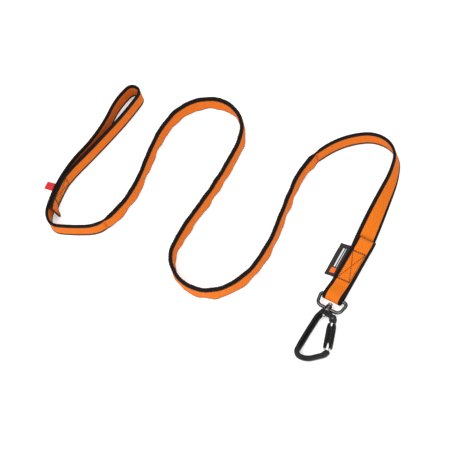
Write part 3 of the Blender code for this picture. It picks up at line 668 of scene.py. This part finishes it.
def strap_ring(place, across, normal, distance, thickness, dent=None):
    """One ring of the strap's skin and its UVs."""
    gather = gather_at(distance)
    pinch = pinch_at(distance)
    width = WIDTH * (1 - 0.05 * pinch)
    flat = 1 - smoothstep((distance - 70) / 60)
    upper = 0.35 * gather + 0.4 * flat
    lower = 1.6 * gather + 1.0 * flat
    buckle = gather * buckle_at(distance)
    ring = []
    uvs = []
    for a, b in full_profile(width, thickness):
        side = 1 if b >= 0 else -1
        flat_a = a
        u = a / (WIDTH / 2)
        lift = 0.0
        if gather > 0 or pinch > 0.001:
            wave = ripple(distance, a)
            face = max(0.0, 1 - abs(u) ** 6)
            lift += side * gather * face * (0.24 * wave + 0.30 * (1 - u * u))
            lift += gather * abs(u) ** 5 * 0.45 * ripple(distance * 0.62 + 40 * u, 3.0)
            lift += buckle * (0.35 - u)
            lift -= side * pinch * 0.75 * face
            a *= 1 + gather * 0.013 * wave * abs(u) ** 3
            if a < 0:
                a *= 1 - 0.035 * gather * (1 + sin(distance * 0.21 + 2 * sin(distance * 0.043)))
        if dent and side > 0:
            lift -= dent(distance, a)
        ring.append(place + across * a + normal * (b + lift))
        edge = min(1.0, abs(flat_a) / 6)
        uvs.append((distance, flat_a + edge * (upper if flat_a > 0 else lower)))
    return ring, uvs


def thickness_at(distance):
    return THICKNESS + (BUNGEE_THICKNESS - THICKNESS) * gather_at(distance) * 0.85


def stations(start, end, step):
    count = max(1, ceil(abs(end - start) / step - 1e-6))
    return [start + (end - start) * i / count for i in range(count + 1)]


def box_dent(place, length, width):
    """Depth that a crossed box of stitches pulls the face in by."""
    def depth(distance, a):
        x = distance - place
        half = length / 2
        wide = width / 2
        if abs(x) > half + 2 or abs(a) > wide + 2:
            return 0.0
        ends = abs(abs(x) - half) + max(0, abs(a) - wide)
        sides = abs(abs(a) - wide) + max(0, abs(x) - half)
        nearest = min(ends, sides)
        slope = hypot(length, width)
        if abs(x) <= half and abs(a) <= wide:
            nearest = min(nearest, *(abs(x * width + k * a * length) / slope for k in (-1, 1)))
        return 0.34 * exp(-(nearest / 0.85) ** 2)
    return depth


END_DENT = box_dent(*END_BOX)
LOOP_DENT = box_dent(*LOOP_BOX)


def main_rings(start, end):
    rings = []
    distance = start
    places = []
    while distance < end - 1e-6:
        places.append(distance)
        distance += 0.55 if gather_at(distance) > 0 or pinch_at(distance) > 0.02 else 2.0
    places.append(end)
    for distance in places:
        centre, _, across, normal = frame_at(distance)
        rings.append(strap_ring(centre, across, normal, distance, thickness_at(distance)))
    return rings


def tail_height(distance):
    seam = THICKNESS + SEAM_GAP
    return seam + (2 * FOLD_RADIUS - seam) * (1 - smoothstep(distance / TAIL_SETTLE))


def tail_place(distance):
    centre, _, across, normal = frame_at(distance)
    shift = TAIL_SHIFT * smoothstep(distance / TAIL_END)
    return centre + normal * tail_height(distance) - across * shift, across, normal


def sewn_end_rings(cut_at):
    """Cut end of the tail, down its upper layer, round the bar, and along the main layer to cut_at."""
    rings = []
    for distance in stations(TAIL_END, 0, 1.0):
        place, across, normal = tail_place(distance)
        ring, uvs = strap_ring(place, across, normal, distance, THICKNESS, END_DENT)
        rings.append((ring, [(-u, v) for u, v in uvs]))
    bar = Vector((PATH_START[0], BAR_Y, HARDWARE_Z))
    across = Vector((-1, 0, 0))
    for i in range(1, FOLD_STEPS):
        angle = pi * i / FOLD_STEPS
        out = Vector((0, -sin(angle), cos(angle)))
        ring, uvs = strap_ring(bar + out * FOLD_RADIUS, across, out, 0.0, THICKNESS)
        rings.append((ring, [(u + i * FOLD_WEAVE_STEP, v) for u, v in uvs]))
    for ring, uvs in main_rings(0.0, cut_at):
        rings.append((mirrored(ring), [(u + FOLD_STEPS * FOLD_WEAVE_STEP, v) for u, v in mirrored(uvs)]))
    return rings


def mirrored(ring):
    """The ring with its two faces swapped, so that it follows on from the fold."""
    count = len(ring)
    top = count // 2 + 1
    order = [0] + list(range(count - 1, top - 1, -1)) + [top - 1] + list(range(top - 2, 0, -1))
    return [ring[i] for i in order]


def seam_place(distance):
    """The strap's return layer in the hand loop's seam, whose cut end leans out at the bottom."""
    centre, _, across, normal = frame_at(distance)
    place = centre + normal * (THICKNESS + SEAM_GAP)
    share = smoothstep((SEAM_FLARE - distance) / (SEAM_FLARE - SEAM_BOTTOM))
    lean = FLARE_ANGLE * share
    top = place + across * (WIDTH / 2)
    leaning = across * cos(lean) - normal * sin(lean)
    facing = normal * cos(lean) + across * sin(lean)
    return top - leaning * (WIDTH / 2), leaning, facing


def loop_rings(cut_at):
    """Main layer from cut_at, round the hand loop, and back down the seam to the cut end."""
    rings = main_rings(cut_at, LOOP_SIDE)
    last, last_along, _, _ = frame_at(LOOP_SIDE)
    first, _, _ = seam_place(SEAM_SIDE)
    tangent = -frame_at(SEAM_SIDE)[1]
    gap = (first - last).length
    for k in range(1, 6):
        t = k / 6
        near = 2 * t ** 3 - 3 * t ** 2 + 1
        leaving = (t ** 3 - 2 * t ** 2 + t) * gap
        arriving = (t ** 3 - t ** 2) * gap
        place = last * near + last_along * leaving + first * (1 - near) + tangent * arriving
        along = (last_along * (1 - t) + tangent * t).normalized()
        rings.append(strap_ring(place, UP, along.cross(UP), LOOP_SIDE + gap * t, THICKNESS))
    for distance in stations(SEAM_SIDE, SEAM_BOTTOM, 1.0):
        place, across, normal = seam_place(distance)
        ring, uvs = strap_ring(place, across, normal, distance, THICKNESS, LOOP_DENT)
        rings.append((mirrored(ring), [(2 * LOOP_FLEX - u, v) for u, v in mirrored(uvs)]))
    return rings


def strap_piece(name, rings, cut_first=False, cut_last=False):
    """A length of strap; an end that was cut and melted carries a fading burn mark."""
    made = loft(name, [r for r, _ in rings], [uv for _, uvs in rings for uv in uvs])
    marks = []
    for i in range(len(rings)):
        mark = max(cut_first * exp(-i / 1.2), cut_last * exp(-(len(rings) - 1 - i) / 1.2))
        marks += [mark] * len(rings[0][0])
    burn = made.data.attributes.new("burn", "FLOAT", "POINT")
    burn.data.foreach_set("value", marks)
    return dress(made, "web")


def core_piece(name, start, end):
    """Flat elastic inside the tube."""
    rings = []
    uvs = []
    for distance in stations(max(start, BUNGEE[0] + CORE_INSET), min(end, BUNGEE[1] - CORE_INSET), 3.0):
        centre, _, across, normal = frame_at(distance)
        rings.append([centre + across * a + normal * b for a, b in CORE_SECTION])
        uvs += [(distance, a) for a, _ in CORE_SECTION]
    return dress(loft(name, rings, uvs), "rubber")


def build_strap():
    front = strap_piece("strap_sewn_end", sewn_end_rings(float(SPANS[0][1])), cut_first=True)
    fit_between(front, 79, 103, ("web_sewn_end",))
    for name, start, end, bend, reach, bodies, web, core in SPANS:
        low, high = (bend - reach, bend + reach) if bend else (start + STRETCH_INSET, end - STRETCH_INSET)
        piece = strap_piece("strap_" + name, main_rings(float(start), float(end)))
        fit_between(piece, low, high, (web,))
        if core:
            piece = core_piece("core_" + name, float(start), float(end))
            fit_between(piece, low, high, (f"elastic_core_{core}",))
    loop = strap_piece("strap_hand_loop", loop_rings(float(SPANS[-1][2])), cut_last=True)
    nodes = ("web_handle_base", "web_handle_tail", "web_handle_loop")
    fit_between(loop, 1137, 1156, nodes)


# ---- stitching

TACK_STITCHES = 24
TACK_REACH = 8.8
TACK_SKEW = 0.35
TACK_HALF = 1.5
TACK_SINK = 0.78
THREAD_RADIUS = 0.42
TACK_THREAD_RADIUS = 0.36
LABEL_THREAD_RADIUS = 0.22

def stitch_mesh(name, runs, radius):
    """Rows of separate stitches. Each run is (list of points, list of outward directions)."""
    points = []
    faces = []
    uvs = []
    sides = 8
    shape = ((0.0, 0.15), (0.12, 0.75), (0.35, 1.0), (0.65, 1.0), (0.88, 0.75), (1.0, 0.15))
    for start, end, out in runs:
        along = (end - start).normalized()
        side = along.cross(out).normalized()
        length = (end - start).length
        base = len(points)
        for t, fullness in shape:
            sag = 4 * t * (1 - t)
            centre = start.lerp(end, t) + out * (radius * (0.75 * sag - 0.35))
            for k, (c, s) in enumerate(around(sides)):
                points.append(centre + (side * c + out * s * 0.8) * (radius * fullness))
                uvs.append((t * length, k / sides))
        faces += skin(len(shape), sides, base=base)
    return outward(mesh_object(name, points, faces, uvs))


def row(surface, start, end, pitch=2.7, gap=0.5):
    """Stitches on a surface from (distance, across) to (distance, across)."""
    a = Vector(start)
    b = Vector(end)
    count = max(1, round((b - a).length / pitch))
    runs = []
    for i in range(count):
        trim = gap / 2 / (b - a).length
        p = a.lerp(b, i / count + trim)
        q = a.lerp(b, (i + 1) / count - trim)
        first, _ = surface(p.x, p.y)
        last, out = surface(q.x, q.y)
        runs.append((first, last, out))
    return runs


def crossed_box(surface, place, length, width):
    a = length / 2
    b = width / 2
    corners = [(place - a, -b), (place + a, -b), (place + a, b), (place - a, b)]
    runs = []
    for i in range(4):
        runs += row(surface, corners[i], corners[(i + 1) % 4])
    for x in (place - a + 0.9, place + a - 0.9):
        runs += row(surface, (x, -b), (x, b), 2.0, 0.3)
    runs += row(surface, corners[0], corners[2])
    runs += row(surface, corners[1], corners[3])
    return runs


def strap_place(distance):
    centre, _, across, normal = frame_at(distance)
    return centre, across, normal


def face_of(place_at, side, sunk, pinched=0.0):
    """One face of a layer, as the point and outward direction at a distance and place across."""
    def surface(distance, a):
        place, across, normal = place_at(distance)
        depth = THICKNESS / 2 - sunk - pinched * pinch_at(distance)
        return place + across * a + normal * (side * depth), normal * side
    return surface


def bartack(place):
    runs = []
    for side in (-1, 1):
        surface = face_of(strap_place, side, 0.0, TACK_SINK)
        for i in range(TACK_STITCHES):
            a = TACK_REACH * (2 * i / (TACK_STITCHES - 1) - 1)
            skew = TACK_SKEW * (-1) ** i
            first, _ = surface(place - TACK_HALF, a - skew)
            last, out = surface(place + TACK_HALF, a + skew)
            runs.append((first, last, out))
    return runs


def build_stitching():
    under = face_of(strap_place, -1, 0.12)
    for place_at, box, where, body in ((tail_place, END_BOX, "end", "sewn_end"),
                                       (seam_place, LOOP_BOX, "handle", "handle_base")):
        runs = crossed_box(face_of(place_at, 1, 0.22), *box) + crossed_box(under, *box)
        made = stitch_mesh("stitching_" + where, runs, THREAD_RADIUS)
        fit(made, "thread", body, "box_stitch_" + where)
    for place, node, body in zip(BUNGEE, ("bartack_front", "bartack_rear"), ("bungee_1", "bungee_6")):
        made = stitch_mesh(node + "_thread", bartack(place), TACK_THREAD_RADIUS)
        fit(made, "orange_thread", body, node)


# ---- label and tab

LABEL_WIDTH = 13.0
LABEL_SEAMS = (1.9, 12.1)
LABEL_SEAM_END = 19.4
LABEL_PITCH = 2.2

def flap(name, root, axes, length, width, thickness, shape):
    """A thin textile flap on axes out from its root, along the strap, and up; shape gives lift and fold."""
    across, along, up = axes
    nx = 26
    ny = 40
    points = []
    uvs = []
    for face in (1, -1):
        for i in range(nx + 1):
            for j in range(ny + 1):
                x = width * i / nx
                y = length * (j / ny - 0.5)
                rim = min(min(width - x, length / 2 - abs(y)) / 0.5, 1.0)
                half = thickness / 2 * sqrt(max(0.0, 1 - (1 - max(rim, 0.0)) ** 2))
                lift, fold = shape(x, y)
                points.append(root + across * x + along * y + up * (lift + face * (half + fold)))
                uvs.append((y, x))
    size = (nx + 1) * (ny + 1)
    faces = []
    for i in range(nx):
        for j in range(ny):
            a = i * (ny + 1) + j
            b = a + ny + 1
            faces.append((a, b, b + 1, a + 1))
            faces.append((size + a, size + a + 1, size + b + 1, size + b))
    ring = list(range(ny + 1))
    ring += [i * (ny + 1) + ny for i in range(1, nx + 1)]
    ring += [nx * (ny + 1) + j for j in range(ny - 1, -1, -1)]
    ring += [i * (ny + 1) for i in range(nx - 1, 0, -1)]
    for i, a in enumerate(ring):
        b = ring[(i + 1) % len(ring)]
        faces.append((a, b, size + b, size + a))
    return outward(mesh_object(name, points, faces, uvs), 2 * WELD)


def build_label():
    centre, along, across, normal = frame_at(LABEL_PLACE)
    root = centre + across * (WIDTH / 2 - 0.6) + normal * (THICKNESS / 2 + 0.1)

    def label_shape(x, y):
        share = x / LABEL_WIDTH
        droop = -2.3 * smoothstep(share) + 0.25 * sin(y * 0.19 + 0.8) * share
        hem = 0.10 * exp(-((x - LABEL_SEAMS[0]) / 0.4) ** 2)
        return droop, -hem

    made = flap("woven_label", root, (across, along, normal), 41.0, LABEL_WIDTH, 1.0, label_shape)
    fit(made, "label", "label", "label")

    def label_surface(y, x):
        lift, _ = label_shape(x, y)
        return root + across * x + along * y + normal * (lift + 0.42), normal

    end = LABEL_SEAM_END
    near, far = LABEL_SEAMS
    runs = []
    for first, last in (((-end, near), (end, near)), ((-end, far), (end, far)),
                        ((-end, near), (-end, far)), ((end, near), (end, far))):
        runs += row(label_surface, first, last, LABEL_PITCH)
    fit(stitch_mesh("label_stitching", runs, LABEL_THREAD_RADIUS), "black_thread", "label")


def build_tab():
    centre, along, across, normal = frame_at(TAB_PLACE)
    droop = radians(6)
    out = -normal * cos(droop) - across * sin(droop)
    up = across * cos(droop) - normal * sin(droop)
    root = centre + across * (WIDTH / 2 + 0.4) - normal * (THICKNESS / 2 - 0.8)

    def tab_shape(x, y):
        return 0.9 * sin(x / 10.0 * 1.7) + 0.18 * sin(y * 0.5 + x * 0.3), 0.12 * (1 - x / 12)

    fit(flap("woven_tab", root, (out, along, up), 9.8, 10.2, 0.9, tab_shape), "tab", "tab", "side_tab")


# ---- swivel

PIN_BORE = 1.75

def along_y(y=0.0):
    """Lays a shape turned about Z along the swivel's axis."""
    turn = Matrix(((1, 0, 0), (0, 0, 1), (0, -1, 0))).to_4x4()
    return Matrix.Translation(Vector((0, y, HARDWARE_Z)) * MM) @ turn


def closed_rounded(corners, step=radians(4)):
    """Closed outline with rounded corners, from (x, y, radius)."""
    return rounded_line([corners[-1], *corners, corners[0]], step)[1:-1]


def wire_ring(name, outline, radius, z, segments=24):
    """A closed round wire along a flat outline."""
    points = resampled([*outline, outline[0]], 0.7)[:-1]
    rings = []
    count = len(points)
    for i, p in enumerate(points):
        tangent = (points[(i + 1) % count] - points[i - 1]).normalized()
        side = Vector((tangent.y, -tangent.x, 0))
        centre = Vector((p.x, p.y, z))
        rings.append([centre + side * (radius * c) + UP * (radius * s) for c, s in around(segments)])
    return loft(name, rings, closed=True)


def build_eye():
    corners = ((-16.5, 11.2, 3.2), (16.5, 11.2, 3.2), (13.6, -3.1, 6.0), (-13.6, -3.1, 6.0))
    ring = wire_ring("eye_ring", closed_rounded(corners), WIRE_RADIUS, HARDWARE_Z)
    profile = [(0, 1.0), (3.0, 1.0), (3.4, 0.3), (3.4, -4.2), (3.0, -4.9), (0, -4.9)]
    boss = placed(lathe("eye_boss", softened(profile, 0.5)), along_y())
    made = fuse(joined("swivel_eye_ring", [ring, boss]), 0.24, 4)
    cut(made, [drill(PIN_BORE, along_y(-2.0))])
    fit(smooth_by_angle(made, 50), "wire", "eye", "swivel_eye")
    profile = softened([(PIN_BORE, -5.15), (3.35, -5.15), (3.35, -5.65), (PIN_BORE, -5.65)], 0.12, 2)
    washer = placed(lathe("swivel_thrust_washer", profile), along_y())
    fit(washer, "steel", "eye", "swivel_washer")
    head = [(0, 4.3), (0.9, 4.22), (1.8, 3.9), (2.45, 3.35), (2.75, 2.6), (2.75, 1.3), (2.6, 1.15)]
    stake = [(2.1, -10.95), (2.35, -11.2), (2.35, -12.4), (2.0, -13.1), (1.2, -13.5), (0.7, -13.3)]
    profile = [*head, (1.5, 1.15), (1.5, -10.95), *stake, (0, -13.2)]
    fit(placed(lathe("swivel_rivet", profile), along_y()), "pin_steel", "carabiner", "swivel_pin")


# ---- carabiner

HINGE = Vector((11.0, -10.7, HARDWARE_Z))
HINGE_PLACE = Matrix.Translation(HINGE * MM)
HINGE_BORE = 1.5
GATE_ANGLE = radians(-69.5)
BODY_HALF = 3.4
SLEEVE_SPAN = (6.2, 34.2)
SLEEVE_RADIUS = 5.25
SLEEVE_BORE = 3.65
SLEEVE_SIDES = 144
FLUTES = 12
BAR_LINE = (
    (-2.6, -7.6, 0), (-4.9, -16.5, 18.0), (-5.1, -36.0, 90.0), (-4.6, -64.9, 6.3), (9.5, -64.0, 17.5),
    (24.0, -50.6, 5.2), (25.2, -45.4, 0),
)


def gate_place():
    """Gate's own axes: x from the hinge to the nose, z up."""
    return HINGE_PLACE @ Matrix.Rotation(GATE_ANGLE, 4, "Z")


def gate_turned():
    """Lays a shape turned about Z along the gate."""
    return gate_place() @ Matrix(((0, 0, 1), (0, 1, 0), (-1, 0, 0))).to_4x4()


def bar_section(width, height, groove):
    """Section of the forged bar as (side, up), with a channel in its upper and lower faces."""
    points = []
    for c, s in around(56):
        x = width / 2 * copysign(abs(c) ** 0.62, c)
        z = height / 2 * copysign(abs(s) ** 0.72, s)
        if groove:
            channel = exp(-((x - 0.95) / 0.55) ** 2)
            z -= copysign(groove * channel, s) if abs(s) > 0.3 else 0.0
        points.append((x, z))
    return points


def build_bar():
    line = resampled(rounded_line(BAR_LINE), 0.6)
    rings = []
    count = len(line)
    for i, p in enumerate(line):
        share = i / (count - 1)
        tangent = (line[min(i + 1, count - 1)] - line[max(i - 1, 0)]).normalized()
        side = Vector((-tangent.y, tangent.x, 0))
        spine = smoothstep((0.56 - share) / 0.10) * smoothstep((share - 0.02) / 0.05)
        width = 5.9 + 1.3 * smoothstep((0.62 - share) / 0.2) * smoothstep((share + 0.06) / 0.16)
        height = 6.3 + 0.5 * smoothstep((0.65 - share) / 0.2)
        rings.append([Vector((p.x, p.y, HARDWARE_Z)) + side * a + UP * b
                      for a, b in bar_section(width, height, 1.9 * spine)])
    return loft("bar", rings)


def extruded(outline, low, high):
    """A plate between two heights over a flat outline, in mm."""
    bm = bmesh.new()
    lower = [bm.verts.new(Vector((p[0], p[1], low)) * MM) for p in outline]
    grown = bmesh.ops.extrude_face_region(bm, geom=[bm.faces.new(lower)])
    moved = [v for v in grown["geom"] if isinstance(v, bmesh.types.BMVert)]
    bmesh.ops.translate(bm, verts=moved, vec=(0, 0, (high - low) * MM))
    bmesh.ops.recalc_face_normals(bm, faces=bm.faces)
    return bm


def rounded_block(name, outline, half, bevel):
    """A plate at the hardware's height, its rims rounded."""
    bm = extruded(outline, HARDWARE_Z - half, HARDWARE_Z + half)
    rims = [e for e in bm.edges if any(len(f.verts) == len(outline) for f in e.link_faces)]
    bmesh.ops.bevel(bm, geom=rims, offset=bevel * MM, segments=4, profile=0.5, affect="EDGES",
                    clamp_overlap=True)
    return from_bmesh(name, bm)


def prism(name, outline, low, high, matrix):
    return from_bmesh(name, extruded(outline, low, high), matrix)


def circle_outline(x, y, radius):
    return [(x + radius * c, y + radius * s) for c, s in around(40)]


def gate_point(distance, side):
    """Plan position at a distance along the gate's axis and to the side of it, in mm."""
    c = cos(GATE_ANGLE)
    s = sin(GATE_ANGLE)
    return HINGE.x + distance * c - side * s, HINGE.y + distance * s + side * c


def build_body():
    hub = closed_rounded((
        (-4.9, -5.9, 2.4), (7.4, -5.9, 2.6), (11.0, -8.8, 2.5), (8.2, -12.2, 1.6), (5.0, -10.7, 1.2),
        (-3.4, -10.6, 1.0), (-5.8, -12.0, 2.0),
    ))
    nose = closed_rounded((
        (*gate_point(37.9, -2.6), 1.4), (*gate_point(37.9, 4.7), 1.8), (27.4, -47.6, 4.5),
        (22.6, -54.2, 4.0), (19.5, -52.6, 1.5),
    ))
    profile = [(0, -5.9), (4.0, -5.9), (4.2, -6.6), (4.2, -9.9), (3.8, -10.6), (0, -10.6)]
    parts = [
        build_bar(),
        rounded_block("hub", hub, BODY_HALF, 0.9),
        rounded_block("ear", circle_outline(HINGE.x, HINGE.y, 3.95), BODY_HALF, 0.7),
        rounded_block("cheek", circle_outline(*gate_point(2.0, 0.0), 3.85), BODY_HALF, 0.7),
        rounded_block("nose", nose, 3.3, 0.9),
        placed(lathe("hub_barrel", softened(profile, 0.4)), along_y()),
    ]
    made = fuse(joined("carabiner_frame", parts), 0.17, 3)
    slot = prism("slot", ((-4.2, -8), (8, -8), (8, 8), (-4.2, 8)), -2.1, 2.1, gate_place())
    cut(made, [drill(PIN_BORE, along_y(-8.5)), slot, drill(HINGE_BORE, HINGE_PLACE)])
    fit(smooth_by_angle(made, 50), "anodised", "carabiner", "carabiner_body")
    head = [(0, 3.6), (0.5, 3.62), (1.1, 3.55), (1.35, 3.4), (1.35, 3.2), (1.2, 3.1)]
    profile = head + [(r, -h) for r, h in reversed(head)]
    fit(placed(lathe("hinge_rivet", profile), HINGE_PLACE), "wire", "carabiner", "gate_hinge_pin")


def build_gate():
    profile = [(0, 37.3), (2.6, 37.3), (3.3, 36.5), (3.3, 26.2), (2.3, 25.8), (2.3, 13.8), (3.3, 13.4),
               (3.3, 10.1), (3.05, 9.8), (3.05, 9.2), (3.3, 8.9), (3.3, 5.9), (2.7, 5.2), (0, 5.2)]
    barrel = placed(lathe("gate_bar", softened(profile, 0.22)), gate_turned())
    half = 2.9
    outline = [(8.0, -half), (8.0, half)] + [
        (half * cos(a), half * sin(a)) for a in np.linspace(pi / 2, 3 * pi / 2, 24)]
    cut(barrel, [prism("tongue", outline, -1.8, 0.1, gate_place())], "UNION")
    cut(barrel, [drill(HINGE_BORE, HINGE_PLACE)])
    fit(smooth_by_angle(barrel, 35), "steel", "gate", "gate_barrel")


def build_sleeve():
    """Fluted twist sleeve with gripping bands, chamfered ends, a pointed window and one at the ear."""
    start, end = SLEEVE_SPAN
    circle = around(SLEEVE_SIDES)
    heights = [start + h for h in (0, 0.25, 0.6, 1.4, 2.4, 3.6, 5.0, 5.1, 5.9, 6.0, 6.5)]
    heights += list(np.linspace(start + 7.2, end - 4.6, 14))
    heights += [end - h for h in (3.6, 3.0, 2.8, 2.3, 2.1, 1.0, 0.5, 0.2, 0)]
    rings = []
    for h in heights:
        rim = min(h - start, end - h)
        chamfer = 0.55 * max(0.0, 1 - rim / 0.6) ** 1.3 + 0.55 * (1 - smoothstep((h - start) / 5.0))
        band = 0.28 * (5.05 < h - start < 5.95) + 0.28 * (2.15 < end - h < 2.95)
        flute = 0.5 * smoothstep((h - start - 6.4) / 1.6) * smoothstep((end - 3.0 - h) / 1.6)
        ring = []
        for k, (c, s) in enumerate(circle):
            wave = cos(tau * k / SLEEVE_SIDES * FLUTES)
            radius = SLEEVE_RADIUS - chamfer - band - flute * max(0.0, wave) ** 1.5
            ring.append(Vector((radius * c, radius * s, h)))
        rings.append(ring)
    rings += [[Vector((SLEEVE_BORE * c, SLEEVE_BORE * s, h)) for c, s in circle] for h in (end, start)]
    made = placed(loft("twist_sleeve", rings, closed=True), gate_turned())
    windows = (
        ((28.2, 0, 0.25), (31.4, -2.6, 1.0), (36.5, -2.6, 0.2), (36.5, 2.6, 0.2), (31.4, 2.6, 1.0)),
        ((5.0, -1.7, 0.2), (10.6, -1.7, 1.2), (10.6, 1.7, 1.2), (5.0, 1.7, 0.2)),
    )
    cut(made, [prism("window", closed_rounded(w), 1.0, 7.0, gate_place()) for w in windows])
    fit(smooth_by_angle(made, 38), "anodised", "sleeve", "lock_sleeve")


def coil(name, radius, rise, turns, wire, matrix):
    """A helical spring about Z, rising from zero, of round wire."""
    rings = []
    steps = round(turns * 40)
    slope = rise / (turns * tau * radius)
    for i in range(steps + 1):
        angle = turns * tau * i / steps
        out = Vector((cos(angle), sin(angle), 0))
        tangent = Vector((-sin(angle), cos(angle), slope)).normalized()
        upward = tangent.cross(out)
        centre = out * radius + UP * (rise * i / steps)
        rings.append([centre + (out * c + upward * s) * wire for c, s in around(12)])
    return placed(loft(name, rings), matrix)


def build_gate_fittings():
    turned = gate_turned() @ Matrix.Translation((0, 0, 15.0 * MM))
    fit(coil("return_spring", 2.95, 9.5, 6, 0.3, turned), "steel", "gate", "sleeve_spring")
    turned = gate_place() @ Matrix.Translation((0, 0, 0.65 * MM))
    fit(coil("hinge_spring", 2.15, 0.9, 1.25, 0.3, turned), "steel", "gate", "gate_spring")
    turned = gate_place() @ Matrix.Translation((29.5 * MM, -2.55 * MM, 0))
    turned = turned @ Matrix.Rotation(pi / 2, 4, "X")
    profile = softened([(0, 0.8), (0.8, 0.8), (0.8, -0.8), (0, -0.8)], 0.18)
    fit(placed(lathe("guide_pin", profile, 40), turned), "steel", "gate", "sleeve_guide_pin")


# ---- stage, light and camera

AIM = Vector((-0.15531, 0.03227, 0.0)) - rest_centre() * MM
AZIMUTH = radians(50)
ELEVATION = radians(61.4)
ROLL = radians(20)
CAMERA_DISTANCE = 1.67785


def build_stage():
    n = Nodes("pale_floor")
    grain = n.noise(30.0, 2.0)
    n.finish(n.mix(grain, (0.76, 0.76, 0.76, 1), (0.78, 0.78, 0.78, 1)), 0.9)
    n.feed(n.shader, {"Emission Color": (1, 1, 1, 1), "Emission Strength": 0.4})
    bm = bmesh.new()
    bmesh.ops.create_grid(bm, x_segments=4, y_segments=4, size=4.0)
    floor = from_bmesh("floor", bm, Matrix.Translation((-0.15, 0.0, -0.0004)))
    floor.data.materials.append(n.material)


def add_light(name, place, size, power):
    """A square soft light aimed at the middle of the piece."""
    light = bpy.data.lights.new(name, "AREA")
    light.size = size
    light.energy = power
    made = linked(name, light)
    made.location = place
    made.rotation_euler = (Vector((AIM.x, AIM.y, 0)) - Vector(place)).to_track_quat("-Z", "Y").to_euler()


def build_light():
    world = bpy.data.worlds.new("studio")
    world.use_nodes = True
    background = world.node_tree.nodes["Background"]
    background.inputs["Color"].default_value = (1.0, 1.0, 1.0, 1)
    background.inputs["Strength"].default_value = 0.55
    bpy.context.scene.world = world
    add_light("key", (-0.9, -0.7, 1.5), 1.2, 20)
    add_light("fill", (0.75, -0.85, 0.9), 1.2, 16)
    add_light("top", (-0.1, 0.6, 1.7), 1.6, 12)
    bpy.context.scene.view_settings.view_transform = "Standard"


def build_camera():
    u = Vector((cos(AZIMUTH), sin(AZIMUTH), 0))
    g = Vector((-sin(AZIMUTH), cos(AZIMUTH), 0))
    forward = g * cos(ELEVATION) - UP * sin(ELEVATION)
    up = g * sin(ELEVATION) + UP * cos(ELEVATION)
    right_axis = u * cos(ROLL) - up * sin(ROLL)
    up_axis = u * sin(ROLL) + up * cos(ROLL)
    data = bpy.data.cameras.new("camera")
    data.lens = 120
    data.sensor_width = 36
    data.clip_start = 0.01
    camera = linked("camera", data)
    turn = Matrix((right_axis, up_axis, -forward)).transposed().to_4x4()
    camera.matrix_world = Matrix.Translation(AIM - forward * CAMERA_DISTANCE) @ turn
    bpy.context.scene.camera = camera


build_strap()
build_stitching()
build_label()
build_tab()
build_eye()
build_body()
build_gate()
build_sleeve()
build_gate_fittings()
build_stage()
build_light()
build_camera()
